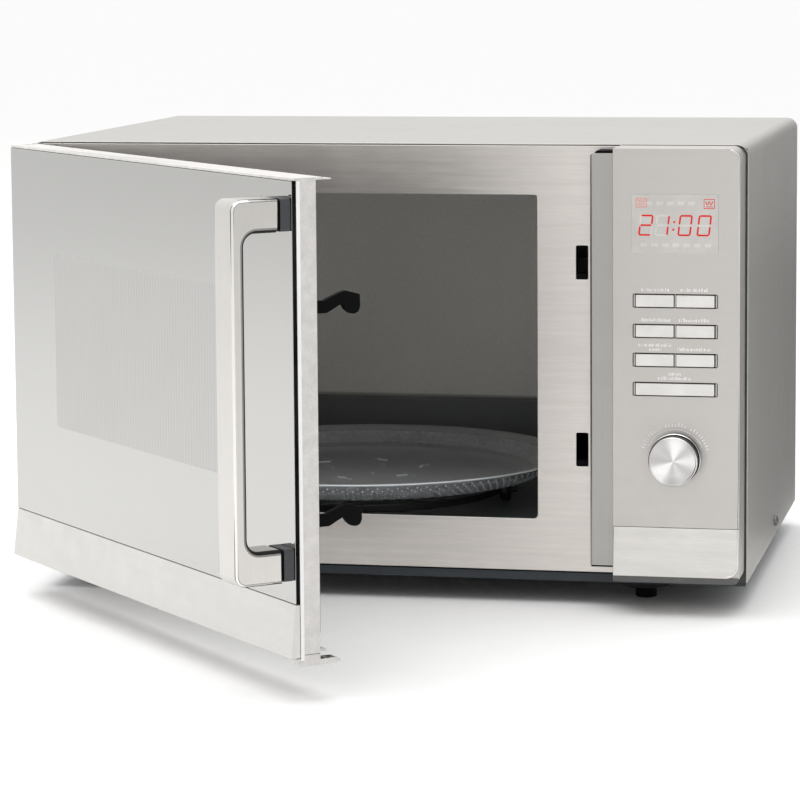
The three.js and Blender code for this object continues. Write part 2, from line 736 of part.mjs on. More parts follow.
function coupler() {
  const hub = rod(13, 9, "z", [0, 0, 36], 20);
  const shaft = rod(3.6, 24, "z", [0, 0, 24], 12);
  const arms = [0, 1, 2].map((i) =>
    block([0, 30], [-4.5, 4.5], [37, 43.2 - gap]).rotateZ((i * 2 * Math.PI) / 3),
  );
  return join(hub, shaft, ...arms).translate(tray.x, tray.y, 0);
}

const rollerHeight = (cavity.floor + tray.bottom) / 2;

function rollerRing() {
  const { radius, width, axle } = track;
  const inner = radius - width / 2 - 6;
  const ring = turned(
    [
      [inner, rollerHeight - 3],
      [inner + 4.5, rollerHeight - 3],
      [inner + 4.5, rollerHeight + 3],
      [inner, rollerHeight + 3],
      [inner, rollerHeight - 3],
    ],
    36,
  );
  const axles = [0, 1, 2].map((i) => {
    const length = width + 8;
    const pin = rod(axle, length, "x", [radius + 1.5, 0, rollerHeight], 10);
    return pin.rotateZ((i * 2 * Math.PI) / 3);
  });
  return join(ring, ...axles).translate(tray.x, tray.y, 0);
}

function roller(index) {
  const { radius, roller: wheel, width, axle } = track;
  const edge = wheel - gap;
  const body = cut(
    turned(
      [[0, -width / 2], [edge - 1, -width / 2], [edge, 1 - width / 2], [edge, width / 2 - 1],
        [edge - 1, width / 2], [0, width / 2]],
      20,
    ),
    rod(axle + 0.4, 20, "z", [0, 0, 0], 10),
  );
  body.rotateY(Math.PI / 2).translate(radius, 0, rollerHeight);
  return body.rotateZ((index * 2 * Math.PI) / 3).translate(tray.x, tray.y, 0);
}

function buildCabinet(parent) {
  piece("outer_wrapper", coverShell(), coverSteel, parent);
  piece("front_plate", frontPlate(), brushedSteel, parent);
  piece("cavity_shell", cavityShell(), cavityPaint, parent);
  piece("rear_panel", rearPanel(), zincSteel, parent);
  piece("base_plate", basePlate(), basePaint, parent);
  piece("waveguide_cover", waveguideCover(), mica, parent);
  const corners = { front_left: [-1, "front"], front_right: [1, "front"] };
  Object.assign(corners, { rear_left: [-1, "rear"], rear_right: [1, "rear"] });
  for (const [corner, [side, end]] of Object.entries(corners))
    piece(corner + "_foot", footPad().translate(side * foot.x, foot[end], 0), rubber, parent);
  piece("side_screw", coverScrew().translate(cover.half + gap, screw.y, screw.z), zincSteel, parent);
  const { x, y } = hinge;
  piece("upper_hinge_bracket", hingeBracket([301, 303], [303, 307.3], [302, 307.4]), zincSteel, parent);
  piece("lower_hinge_bracket", hingeBracket([12.5, 14.5], [8.5, 12.6], [12.5, 15.6]), zincSteel, parent);
}

function buildPanel(parent) {
  piece("control_panel_housing", panelHousing(), panelSteel, parent);
  piece("panel_lower_trim", panelLowerTrim(), brushedSteel, parent);
  piece("panel_side_channel", sideChannel(), brushedSteel, parent);
  piece("display_window", displayWindow(), panelSteel, parent);
  piece("display_module", displayModule(), blackPlastic, parent);
  piece("control_board", controlBoard(), circuitGreen, parent);
  piece("dial_encoder", encoder(), zincSteel, parent);
  piece("dial_knob", knobBody(), spunSteel, parent);
  piece("dial_shaft", rod(dial.shaft, 18, "y", [dial.x, -33.4, dial.z], 14), zincSteel, parent);
  const middle = (keys.left + keys.right) / 2;
  const edge = 2.2;
  keys.bottoms.slice(0, 3).forEach((z, row) => {
    const left = keyCap(keys.left + edge, middle - 0.9, z);
    const right = keyCap(middle + 0.9, keys.right - edge, z);
    piece(`left_button_${row + 1}`, left, satinSteel, parent);
    piece(`right_button_${row + 1}`, right, satinSteel, parent);
  });
  piece("start_button", keyCap(keys.left + edge, keys.right - edge, keys.bottoms[3]), satinSteel, parent);
}

function buildMachinery(parent) {
  piece("interlock_holder", interlockHolder(), blackPlastic, parent);
  piece("upper_interlock_switch", microSwitch(interlock.upper), blackPlastic, parent);
  piece("lower_interlock_switch", microSwitch(interlock.lower), blackPlastic, parent);
  piece("magnetron", magnetron(), zincSteel, parent);
  piece("waveguide", waveguide(), zincSteel, parent);
  piece("high_voltage_transformer", transformer(), ironCore, parent);
  piece("high_voltage_capacitor", capacitor(), zincSteel, parent);
  piece("fan_shroud", fanShroud(), whitePlastic, parent);
  piece("fan_motor", fanMotor(), copper, parent);
  piece("fan_blade", fanBlade(), whitePlastic, parent);
  piece("noise_filter_board", filterBoard(), circuitGreen, parent);
  piece("turntable_motor", turntableMotor(), zincSteel, parent);
  piece("oven_lamp", ovenLamp(), clearGlass, parent);
  piece("cord_gland", cordGland(), blackPlastic, parent);
}

function buildTurntable(parent) {
  piece("glass_tray", glassTray(), clearGlass, parent);
  piece("turntable_coupler", coupler(), whitePlastic, parent);
  piece("roller_ring", rollerRing(), blackPlastic, parent);
  for (let i = 0; i < 3; i++) piece(`tray_roller_${i + 1}`, roller(i), blackPlastic, parent);
}

function buildDoor(parent) {
  piece("door_frame", doorFrame(), brushedSteel, parent);
  piece("door_glass", doorGlass(), mirrorGlass, parent);
  piece("door_lower_trim", doorLowerTrim(), brushedSteel, parent);
  piece("inner_window", innerWindow(), clearGlass, parent);
  piece("choke_panel", chokePanel(), zincSteel, parent);
  piece("choke_cover", chokeCover(), greyPlastic, parent);
  piece("handle_bar", handleBar(), satinSteel, parent);
  piece("upper_handle_spacer", handleSpacer(grip.top - grip.arm), greyPlastic, parent);
  piece("lower_handle_spacer", handleSpacer(grip.bottom), greyPlastic, parent);
  piece("latch_hooks", latchHooks(), blackPlastic, parent);
  piece("latch_spring", latchSpring(), zincSteel, parent);
}

const microwave = new THREE.Group();
const model = new THREE.Group();
microwave.add(model);
buildCabinet(model);
buildPanel(model);
buildMachinery(model);
buildTurntable(model);

// The door turns about its hinge pins, so its closed place hangs in a group at the pins.
const doorPivot = new THREE.Group();
doorPivot.position.set(hinge.x, hinge.y, 0);
doorPivot.rotation.z = THREE.MathUtils.degToRad(-hinge.open);
const closedDoor = new THREE.Group();
closedDoor.position.set(-hinge.x, -hinge.y, 0);
doorPivot.add(closedDoor);
model.add(doorPivot);
buildDoor(closedDoor);

const bounds = new THREE.Box3().setFromObject(microwave, true);
const middle = bounds.getCenter(new THREE.Vector3());
model.position.set(-middle.x, -middle.y, -bounds.min.z);

export default microwave;
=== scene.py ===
import json
import math
import random

import bmesh
import bpy
from mathutils import Matrix, Vector


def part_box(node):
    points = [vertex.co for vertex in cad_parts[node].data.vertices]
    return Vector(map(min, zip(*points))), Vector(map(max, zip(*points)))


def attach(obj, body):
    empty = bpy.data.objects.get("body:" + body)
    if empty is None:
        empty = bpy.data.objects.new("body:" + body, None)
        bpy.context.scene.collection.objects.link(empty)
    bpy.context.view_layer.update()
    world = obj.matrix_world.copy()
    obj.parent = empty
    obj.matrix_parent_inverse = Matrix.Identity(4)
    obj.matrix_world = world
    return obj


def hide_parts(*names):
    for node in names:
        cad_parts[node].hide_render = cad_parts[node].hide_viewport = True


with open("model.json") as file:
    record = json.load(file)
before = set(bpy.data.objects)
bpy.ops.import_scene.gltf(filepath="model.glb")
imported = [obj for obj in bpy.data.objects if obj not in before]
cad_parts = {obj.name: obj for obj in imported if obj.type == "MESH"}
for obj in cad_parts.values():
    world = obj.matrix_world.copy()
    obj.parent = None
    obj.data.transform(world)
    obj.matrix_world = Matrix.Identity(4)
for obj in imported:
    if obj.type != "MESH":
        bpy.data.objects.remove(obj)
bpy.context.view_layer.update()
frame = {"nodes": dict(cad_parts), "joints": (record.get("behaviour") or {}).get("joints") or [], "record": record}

random.seed(7)

# Sizes below are millimetres in the cabinet's own axes: x = 0 is its middle, y = 0 the front
# plate's face and z = 0 the cover's lower edge. toRow carries them into the frame, in metres.
mm = 0.001
coverLow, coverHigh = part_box("outer_wrapper")
cabinetOrigin = Vector(((coverLow.x + coverHigh.x) / 2, coverLow.y, coverLow.z))
toRow = Matrix.Translation(cabinetOrigin) @ Matrix.Scale(mm, 4)
fromRow = toRow.inverted()

# The door's pieces are made closed and then swung open about the hinge pins.
doorHinge = next(joint for joint in frame["joints"] if joint["name"] == "door_hinge")
hingePin = Vector(doorHinge["pos_m"])
doorAngle = math.radians(doorHinge["range_deg"][0])
doorTurn = (
    Matrix.Translation(hingePin) @ Matrix.Rotation(doorAngle, 4, "Z") @ Matrix.Translation(-hingePin)
)
doorBodies = ("door", "latch")
bodyOf = {node: body for body, nodes in frame["record"]["behaviour"]["bodies"].items() for node in nodes}


def spanOf(node):
    # x, y and z ranges of a node in millimetres, with the door's nodes closed
    back = fromRow @ doorTurn.inverted() if bodyOf[node] in doorBodies else fromRow
    points = [back @ vertex.co for vertex in frame["nodes"][node].data.vertices]
    return [(min(p[i] for p in points), max(p[i] for p in points)) for i in range(3)]


def middleOf(node, axes=(0, 1, 2)):
    return tuple(sum(spanOf(node)[axis]) / 2 for axis in axes)


# Shapes, in millimetres.

def arcPoints(u, v, radius, start, end, steps):
    angles = [math.radians(start + (end - start) * i / steps) for i in range(steps + 1)]
    return [(u + radius * math.cos(a), v + radius * math.sin(a)) for a in angles]


def roundedOutline(left, right, bottom, top, radii, steps=8):
    # radii are for the lower right, upper right, upper left and lower left corners
    if not isinstance(radii, tuple):
        radii = (radii,) * 4
    lowRight, topRight, topLeft, lowLeft = radii
    corners = [
        (right - lowRight, bottom + lowRight, lowRight, -90),
        (right - topRight, top - topRight, topRight, 0),
        (left + topLeft, top - topLeft, topLeft, 90),
        (left + lowLeft, bottom + lowLeft, lowLeft, 180),
    ]
    points = []
    for u, v, radius, start in corners:
        points += arcPoints(u, v, radius, start, start + 90, steps) if radius > 0 else [(u, v)]
    return points


def prism(points, low, high, along):
    place = {
        "x": lambda u, v, w: (w, u, v),
        "y": lambda u, v, w: (u, w, v),
        "z": lambda u, v, w: (u, v, w),
    }[along]
    shape = bmesh.new()
    lower = [shape.verts.new(place(u, v, low)) for u, v in points]
    upper = [shape.verts.new(place(u, v, high)) for u, v in points]
    shape.faces.new(lower)
    shape.faces.new(upper)
    for i in range(len(points)):
        j = (i + 1) % len(points)
        shape.faces.new((lower[i], lower[j], upper[j], upper[i]))
    bmesh.ops.recalc_face_normals(shape, faces=shape.faces)
    return shape


def block(xRange, yRange, zRange):
    (x0, x1), (y0, y1) = xRange, yRange
    return prism([(x0, y0), (x1, y0), (x1, y1), (x0, y1)], *zRange, "z")


def turnedShape(profile, steps, knurl=None):
    # profile is (radius, height) about Z; knurl(radius, height, index) gives a new radius
    shape = bmesh.new()
    rings = []
    for radius, height in profile:
        if radius == 0:
            rings.append([shape.verts.new((0, 0, height))] * steps)
            continue
        ring = []
        for i in range(steps):
            r = knurl(radius, height, i) if knurl else radius
            angle = 2 * math.pi * i / steps
            ring.append(shape.verts.new((r * math.cos(angle), r * math.sin(angle), height)))
        rings.append(ring)
    for lower, upper in zip(rings, rings[1:]):
        for i in range(steps):
            j = (i + 1) % steps
            corners = list(dict.fromkeys([lower[i], lower[j], upper[j], upper[i]]))
            if len(corners) > 2:
                shape.faces.new(corners)
    bmesh.ops.remove_doubles(shape, verts=shape.verts, dist=1e-5)
    bmesh.ops.recalc_face_normals(shape, faces=shape.faces)
    return shape


turnTo = {
    "z": Matrix.Identity(4),
    "y": Matrix.Rotation(math.radians(90), 4, "X"),  # heights run forwards
    "x": Matrix.Rotation(math.radians(90), 4, "Y"),
}


def moved(shape, place, along="z", spin=0):
    matrix = Matrix.Translation(Vector(place)) @ turnTo[along] @ Matrix.Rotation(spin, 4, "Z")
    bmesh.ops.transform(shape, matrix=matrix, verts=shape.verts)
    return shape


def disc(radius, length, place, along, steps=24):
    half = length / 2
    return moved(turnedShape([(0, -half), (radius, -half), (radius, half), (0, half)], steps), place, along)


def together(*shapes):
    whole = bmesh.new()
    for shape in shapes:
        mesh = bpy.data.meshes.new("part")
        shape.to_mesh(mesh)
        whole.from_mesh(mesh)
        bpy.data.meshes.remove(mesh)
        shape.free()
    return whole


def wireShape(points, radius, sides=8):
    # a round wire along points, closed at its ends
    shape = bmesh.new()
    rings = []
    for i, point in enumerate(points):
        here = Vector(point)
        ahead = Vector(points[min(i + 1, len(points) - 1)]) - Vector(points[max(i - 1, 0)])
        turn = ahead.to_track_quat("Z", "X").to_matrix()
        ring = []
        for k in range(sides):
            a = 2 * math.pi * k / sides
            out = Vector((radius * math.cos(a), radius * math.sin(a), 0))
            ring.append(shape.verts.new(here + turn @ out))
        rings.append(ring)
    for near, far in zip(rings, rings[1:]):
        for k in range(sides):
            m = (k + 1) % sides
            shape.faces.new((near[k], near[m], far[m], far[k]))
    shape.faces.new(rings[0])
    shape.faces.new(rings[-1])
    bmesh.ops.recalc_face_normals(shape, faces=shape.faces)
    return shape


def looseObject(shape, name="loose"):
    mesh = bpy.data.meshes.new(name)
    shape.to_mesh(mesh)
    shape.free()
    loose = bpy.data.objects.new(name, mesh)
    bpy.context.scene.collection.objects.link(loose)
    return loose


def bakeModifiers(piece):
    bpy.context.view_layer.update()
    done = piece.evaluated_get(bpy.context.evaluated_depsgraph_get())
    mesh = bpy.data.meshes.new_from_object(done)
    piece.modifiers.clear()
    piece.data = mesh


def carved(body, *tools, operation="DIFFERENCE"):
    # cuts the tools out of the body, or joins them to it
    first, second = looseObject(body), looseObject(together(*tools))
    carve = first.modifiers.new("carve", "BOOLEAN")
    carve.operation = operation
    carve.solver = "EXACT"
    carve.object = second
    bakeModifiers(first)
    result = bmesh.new()
    result.from_mesh(first.data)
    for loose in (first, second):
        bpy.data.objects.remove(loose)
    bmesh.ops.dissolve_limit(result, angle_limit=0.002, verts=result.verts, edges=result.edges)
    return result


creaseAngle = 38  # degrees; sharper corners stay crisp


def addPiece(name, shape, body, materials, replaced=(), soften=0, segments=3,
             chamferSlot=-1, centre=None, angle=30):
    bmesh.ops.transform(shape, matrix=toRow, verts=shape.verts)
    piece = looseObject(shape, name)
    for material in materials if isinstance(materials, (list, tuple)) else [materials]:
        piece.data.materials.append(material)
    if soften:
        bevel = piece.modifiers.new("soften", "BEVEL")
        bevel.width = soften * mm
        bevel.segments = segments
        bevel.limit_method = "ANGLE"
        bevel.angle_limit = math.radians(angle)
        bevel.material = chamferSlot
        bakeModifiers(piece)
    piece.data.polygons.foreach_set("use_smooth", [True] * len(piece.data.polygons))
    piece.data.set_sharp_from_angle(angle=math.radians(creaseAngle))
    flat = piece.modifiers.new("flat faces", "WEIGHTED_NORMAL")
    flat.keep_sharp = True
    flat.weight = 90
    if centre is not None:
        middle = toRow @ Vector(centre)
        piece.data.transform(Matrix.Translation(-middle))
        piece.location = middle
    if body in doorBodies:
        piece.matrix_world = doorTurn @ piece.matrix_basis
    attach(piece, body)
    if replaced:
        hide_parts(*replaced)
    return piece


# Shader groups that several finishes share.

def makeGroup(name, inputs, outputs):
    tree = bpy.data.node_groups.new(name, "ShaderNodeTree")
    for label, kind, value in inputs:
        socket = tree.interface.new_socket(name=label, in_out="INPUT", socket_type="NodeSocket" + kind)
        socket.default_value = value
    for label, kind in outputs:
        tree.interface.new_socket(name=label, in_out="OUTPUT", socket_type="NodeSocket" + kind)
    return tree, tree.nodes.new("NodeGroupInput"), tree.nodes.new("NodeGroupOutput")


def put(tree, kind, inputs=None, **settings):
    # one node with its settings and inputs; an input given as a socket is linked
    node = tree.nodes.new("ShaderNode" + kind)
    for key, value in settings.items():
        setattr(node, key, value)
    for key, value in (inputs or {}).items():
        if isinstance(value, bpy.types.NodeSocket):
            tree.links.new(value, node.inputs[key])
        else:
            node.inputs[key].default_value = value
    return node


def worked(tree, operation, *values):
    # one step of arithmetic
    return put(tree, "Math", dict(enumerate(values)), operation=operation).outputs[0]


def ranged(tree, value, low, high, start=0.0, end=1.0):
    # value between low and high, carried onto start to end
    return put(tree, "MapRange", {0: value, 1: low, 2: high, 3: start, 4: end}).outputs[0]


def mixed(tree, amount, first, second):
    # first tone where amount is 0, second where it is 1
    return put(tree, "Mix", {0: amount, 6: first, 7: second}, data_type="RGBA").outputs[2]


def tinted(tree, tone, amount, spread):
    # tone made darker and lighter by spread where amount runs from 0 to 1
    low, high = worked(tree, "SUBTRACT", 1.0, spread), worked(tree, "ADD", 1.0, spread)
    swing = ranged(tree, amount, 0.0, 1.0, low, high)
    grey = put(tree, "CombineColor", {i: swing for i in range(3)}).outputs[0]
    return put(tree, "Mix", {0: 1.0, 6: tone, 7: grey}, data_type="RGBA", blend_type="MULTIPLY").outputs[2]


def makeBrushedGrain():
    # long fine scratches; Stretch holds how tightly the pattern repeats along each axis
    tree, start, end = makeGroup(
        "brushedGrain",
        [("Vector", "Vector", (0, 0, 0)), ("Stretch", "Vector", (20, 2500, 2500)),
         ("Tone", "Color", (.6, .6, .6, 1)), ("Contrast", "Float", 0.08), ("Rough", "Float", 0.3),
         ("Rough Spread", "Float", 0.08)],
        [("Color", "Color"), ("Roughness", "Float"), ("Height", "Float")],
    )
    given = start.outputs
    scaled = put(tree, "VectorMath", {0: given["Vector"], 1: given["Stretch"]}, operation="MULTIPLY")
    scaled = scaled.outputs[0]
    fine = put(tree, "TexNoise", {"Vector": scaled, "Scale": 1.0, "Detail": 3.0, "Roughness": 0.7}).outputs[0]
    broad = put(tree, "TexNoise", {"Vector": scaled, "Scale": 0.16, "Detail": 2.0}).outputs[0]
    cloud = put(tree, "TexNoise", {"Vector": given["Vector"], "Scale": 9.0, "Detail": 2.0}).outputs[0]
    streak = worked(tree, "MULTIPLY_ADD", fine, broad, worked(tree, "MULTIPLY", cloud, 0.35))
    level = ranged(tree, streak, 0.22, 0.62)
    rough = worked(tree, "MULTIPLY_ADD", level, given["Rough Spread"], given["Rough"])
    tree.links.new(tinted(tree, given["Tone"], level, given["Contrast"]), end.inputs["Color"])
    tree.links.new(rough, end.inputs["Roughness"])
    tree.links.new(fine, end.inputs["Height"])
    return tree


def makeSpeckle():
    # fine even grain for paint, enamel and moulded plastic
    tree, start, end = makeGroup(
        "speckle",
        [("Vector", "Vector", (0, 0, 0)), ("Scale", "Float", 900.0), ("Tone", "Color", (.5, .5, .5, 1)),
         ("Contrast", "Float", 0.1), ("Rough", "Float", 0.5), ("Rough Spread", "Float", 0.1)],
        [("Color", "Color"), ("Roughness", "Float"), ("Height", "Float")],
    )
    given = start.outputs
    dots = put(tree, "TexNoise", {"Vector": given["Vector"], "Scale": given["Scale"], "Detail": 2.0})
    cloud = put(tree, "TexNoise", {"Vector": given["Vector"], "Scale": 14.0, "Detail": 3.0}).outputs[0]
    sharp = ranged(tree, dots.outputs[0], 0.36, 0.64)
    blend = put(tree, "Mix", {0: 0.35, 2: sharp, 3: cloud}).outputs[0]
    rough = worked(tree, "MULTIPLY_ADD", cloud, given["Rough Spread"], given["Rough"])
    tree.links.new(tinted(tree, given["Tone"], blend, given["Contrast"]), end.inputs["Color"])
    tree.links.new(rough, end.inputs["Roughness"])
    tree.links.new(sharp, end.inputs["Height"])
    return tree


def makeEdgeWear():
    # corners rubbed lighter, in broken patches
    tree, start, end = makeGroup(
        "edgeWear",
        [("Color", "Color", (.5, .5, .5, 1)), ("Worn", "Color", (.8, .8, .8, 1)), ("Amount", "Float", 0.4),
         ("Vector", "Vector", (0, 0, 0))],
        [("Color", "Color"), ("Mask", "Float")],
    )
    given = start.outputs
    edge = ranged(tree, put(tree, "NewGeometry").outputs["Pointiness"], 0.53, 0.64)
    patch = put(tree, "TexNoise", {"Vector": given["Vector"], "Scale": 60.0, "Detail": 3.0}).outputs[0]
    worn = worked(tree, "MULTIPLY", edge, ranged(tree, patch, 0.35, 0.65))
    mask = worked(tree, "MULTIPLY", worn, given["Amount"])
    tree.links.new(mixed(tree, mask, given["Color"], given["Worn"]), end.inputs["Color"])
    tree.links.new(mask, end.inputs["Mask"])
    return tree


def makeHandMarks():
    # faint wiping marks that only change the gloss
    tree, start, end = makeGroup(
        "handMarks",
        [("Vector", "Vector", (0, 0, 0)), ("Roughness", "Float", 0.3), ("Amount", "Float", 0.05)],
        [("Roughness", "Float")],
    )
    given = start.outputs
    swirl = put(tree, "TexNoise", {"Vector": given["Vector"], "Scale": 17.0, "Detail": 5.0, "Distortion": 1.2})
    patch = ranged(tree, swirl.outputs[0], 0.45, 0.7)
    wiped = worked(tree, "MULTIPLY_ADD", patch, given["Amount"], given["Roughness"])
    tree.links.new(wiped, end.inputs["Roughness"])
    return tree


groups = {
    "grain": makeBrushedGrain(),
    "speckle": makeSpeckle(),
    "wear": makeEdgeWear(),
    "marks": makeHandMarks(),
}
print("shader groups made")


# Finishes.

def useGroup(tree, key, inputs):
    node = tree.nodes.new("ShaderNodeGroup")
    node.node_tree = groups[key]
    for label, value in inputs.items():
        if isinstance(value, bpy.types.NodeSocket):
            tree.links.new(value, node.inputs[label])
        else:
            node.inputs[label].default_value = value
    return node


def newMaterial(name, shaderValues):
    material = bpy.data.materials.new(name)
    material.use_nodes = True
    tree = material.node_tree
    shader = tree.nodes["Principled BSDF"]
    for label, value in shaderValues.items():
        shader.inputs[label].default_value = value
    return material, tree, shader


def placeOf(tree, turn=0.0):
    # the piece's own coordinates, turned about Z for the parts of the open door
    here = put(tree, "TexCoord").outputs["Object"]
    if turn == 0:
        return here
    return put(tree, "VectorRotate", {"Vector": here, "Angle": turn}, rotation_type="Z_AXIS").outputs[0]


def addBump(tree, shader, height, strength, distance):
    bump = put(tree, "Bump", {"Height": height, "Strength": strength, "Distance": distance * mm})
    tree.links.new(bump.outputs[0], shader.inputs["Normal"])


def brushedMetal(name, tone, rough, stretch, contrast=0.06, bump=0.08, marks=0.03, wear=0.25, turn=0.0,
                 metal=1.0):
    material, tree, shader = newMaterial(name, {"Metallic": metal})
    where = placeOf(tree, turn)
    grain = useGroup(tree, "grain", {"Vector": where, "Stretch": stretch, "Tone": (*tone, 1),
                                     "Contrast": contrast, "Rough": rough, "Rough Spread": 0.08})
    pale = tuple(min(1.0, c * 1.25 + 0.05) for c in tone)
    worn = useGroup(tree, "wear", {"Color": grain.outputs["Color"], "Worn": (*pale, 1), "Amount": wear,
                                   "Vector": where})
    wiped = useGroup(tree, "marks", {"Vector": where, "Roughness": grain.outputs["Roughness"],
                                     "Amount": marks})
    tree.links.new(worn.outputs["Color"], shader.inputs["Base Color"])
    tree.links.new(wiped.outputs["Roughness"], shader.inputs["Roughness"])
    addBump(tree, shader, grain.outputs["Height"], bump, 0.05)
    return material


def mouldedFinish(name, tone, rough, scale=900, contrast=0.08, bump=0.15, metal=0.0, wear=0.3, shine=0.5):
    # shine is how strongly the bare surface mirrors
    material, tree, shader = newMaterial(name, {"Metallic": metal, "Specular IOR Level": shine})
    where = placeOf(tree)
    grain = useGroup(tree, "speckle", {"Vector": where, "Scale": float(scale), "Tone": (*tone, 1),
                                       "Contrast": contrast, "Rough": rough, "Rough Spread": 0.1})
    pale = tuple(min(1.0, c * 1.3 + 0.03) for c in tone)
    worn = useGroup(tree, "wear", {"Color": grain.outputs["Color"], "Worn": (*pale, 1), "Amount": wear,
                                   "Vector": where})
    tree.links.new(worn.outputs["Color"], shader.inputs["Base Color"])
    tree.links.new(grain.outputs["Roughness"], shader.inputs["Roughness"])
    addBump(tree, shader, grain.outputs["Height"], bump, 0.06)
    return material


# how tightly the grain repeats along x, y and z, each metre
alongX = (26.0, 2600.0, 2600.0)
alongZ = (2600.0, 2600.0, 26.0)
alongY = (2600.0, 26.0, 2600.0)
acrossPlate = (60.0, 1700.0, 1700.0)
acrossTrim = (95.0, 1300.0, 1300.0)
even = (60.0, 60.0, 60.0)
fine = (900.0, 900.0, 900.0)

coverSteel = brushedMetal("coverSteel", (0.45, 0.437, 0.412), 0.36, alongY, contrast=0.025, bump=0.03)
plateSteel = brushedMetal("plateSteel", (0.65, 0.616, 0.582), 0.32, acrossPlate, contrast=0.10, bump=0.10)
trimSteel = brushedMetal("trimSteel", (0.62, 0.605, 0.577), 0.30, acrossTrim, contrast=0.10, bump=0.10)
doorTrimSteel = brushedMetal("doorTrimSteel", (0.58, 0.567, 0.545), 0.28, acrossTrim, contrast=0.05, bump=0.06)
panelSteel = brushedMetal("panelSteel", (0.505, 0.483, 0.461), 0.34, alongX, contrast=0.025, bump=0.02)
channelSteel = brushedMetal("channelSteel", (0.40, 0.39, 0.372), 0.34, alongZ, contrast=0.04)
frameSteel = brushedMetal("frameSteel", (0.60, 0.583, 0.563), 0.5, fine, contrast=0.14, bump=0.1,
                          turn=-doorAngle, metal=0.35)
handleSatin = brushedMetal("handleSatin", (0.59, 0.572, 0.545), 0.26, alongZ, contrast=0.04, bump=0.04)
handlePolish = brushedMetal("handlePolish", (0.74, 0.73, 0.71), 0.10, alongZ, contrast=0.02, bump=0.0, wear=0.0)
handleShade = mouldedFinish("handleShade", (0.012, 0.012, 0.012), 0.35, 900, wear=0.0, shine=0.1)
handleHalfShade = mouldedFinish("handleHalfShade", (0.22, 0.215, 0.205), 0.35, 900, wear=0.0, shine=0.2)
mountGrey = mouldedFinish("mountGrey", (0.045, 0.047, 0.050), 0.4, 1200, shine=0.3)
# painted shade for the knob's sides
knobPaintedShade = mouldedFinish("knobPaintedShade", (0.012, 0.012, 0.012), 0.3, 900, shine=0.15)
stripWhite = mouldedFinish("stripWhite", (0.78, 0.775, 0.76), 0.4, 900, contrast=0.04)
keySilver = brushedMetal("keySilver", (0.64, 0.63, 0.607), 0.30, alongX, contrast=0.03, bump=0.04)
zincSteel = brushedMetal("zincSteel", (0.48, 0.49, 0.50), 0.40, even, contrast=0.16, bump=0.05)
copperWire = brushedMetal("copperWire", (0.55, 0.20, 0.09), 0.32, alongZ, contrast=0.2, bump=0.3)
ironCore = mouldedFinish("ironCore", (0.07, 0.065, 0.06), 0.5, 600, metal=0.6)
rubber = mouldedFinish("rubber", (0.004, 0.004, 0.004), 0.8, 1500, bump=0.25, shine=0.15)
blackPlastic = mouldedFinish("blackPlastic", (0.003, 0.003, 0.0035), 0.5, 1300, bump=0.1,
                             shine=0.05)
slatePlastic = mouldedFinish("slatePlastic", (0.068, 0.076, 0.086), 0.45, 1200)
doorPlastic = mouldedFinish("doorPlastic", (0.022, 0.023, 0.025), 0.35, 1000)
whitePlastic = mouldedFinish("whitePlastic", (0.72, 0.70, 0.64), 0.42, 900, contrast=0.04)
micaSheet = mouldedFinish("micaSheet", (0.42, 0.35, 0.22), 0.5, 260, contrast=0.25)
circuitGreen = mouldedFinish("circuitGreen", (0.02, 0.11, 0.05), 0.4, 420, contrast=0.4)
basePaint = mouldedFinish("basePaint", (0.024, 0.030, 0.037), 0.42, 700, metal=0.2, bump=0.2)
# painted shade under the panel's trim
paintedShadeLip = mouldedFinish("paintedShadeLip", (0.10, 0.10, 0.098), 0.35, 800, metal=0.4)
# painted shade for the button wells and the panel gaps
paintedShadeGrey = mouldedFinish("paintedShadeGrey", (0.055, 0.054, 0.052), 0.45, 900, shine=0.2)
screwSteel = brushedMetal("screwSteel", (0.20, 0.205, 0.205), 0.35, even, contrast=0.16, bump=0.05)
floorPaint = mouldedFinish("floorPaint", (0.96, 0.96, 0.958), 0.6, 40, contrast=0.01, bump=0.0, wear=0.0)
glassRim = mouldedFinish("glassRim", (0.002, 0.002, 0.002), 0.4, 700, bump=0.05, shine=0.03)
printWhite = mouldedFinish("printWhite", (0.68, 0.675, 0.655), 0.5, 1500, bump=0.05)
displayLens = mouldedFinish("displayLens", (0.50, 0.48, 0.46), 0.28, 300, contrast=0.02, bump=0.01, metal=0.95)


# upper is the enamel's own tone; lower is painted shade for the cavity below the step
enamelSettings = {"upper": (0.72, 0.705, 0.665), "lower": (0.13, 0.135, 0.135), "change": (57, 60),
                  "rough": 0.34}


def makeEnamel():
    # grey enamel of the oven's inside, with painted shade: darker below the step in the back wall
    s = enamelSettings
    material, tree, shader = newMaterial(
        "cavityEnamel", {"Metallic": 0.25, "Coat Weight": 0.25, "Coat Roughness": 0.2})
    where = placeOf(tree)
    grain = useGroup(tree, "speckle", {"Vector": where, "Scale": 1100.0, "Tone": (*s["upper"], 1),
                                       "Contrast": 0.10, "Rough": s["rough"], "Rough Spread": 0.1})
    height = put(tree, "SeparateXYZ", {0: where}).outputs[2]
    bottom = spanOf("cavity_shell")[2][0]
    low, high = [(toRow @ Vector((0, 0, bottom + change))).z for change in s["change"]]
    # painted shade: below the step the enamel turns to the dark lower tone
    tone = mixed(tree, ranged(tree, height, low, high), (*s["lower"], 1), grain.outputs["Color"])
    tree.links.new(tone, shader.inputs["Base Color"])
    tree.links.new(grain.outputs["Roughness"], shader.inputs["Roughness"])
    addBump(tree, shader, grain.outputs["Height"], 0.12, 0.04)
    return material


mirrorSettings = {"glass": (0.465, 0.46, 0.446), "filmDark": (0.435, 0.43, 0.418),
                  "filmPale": (0.49, 0.485, 0.471), "edge": 1.5,
                  "rows": 75.0, "columns": 130.0, "columnShare": 0.15, "gloss": (0.03, 0.42)}


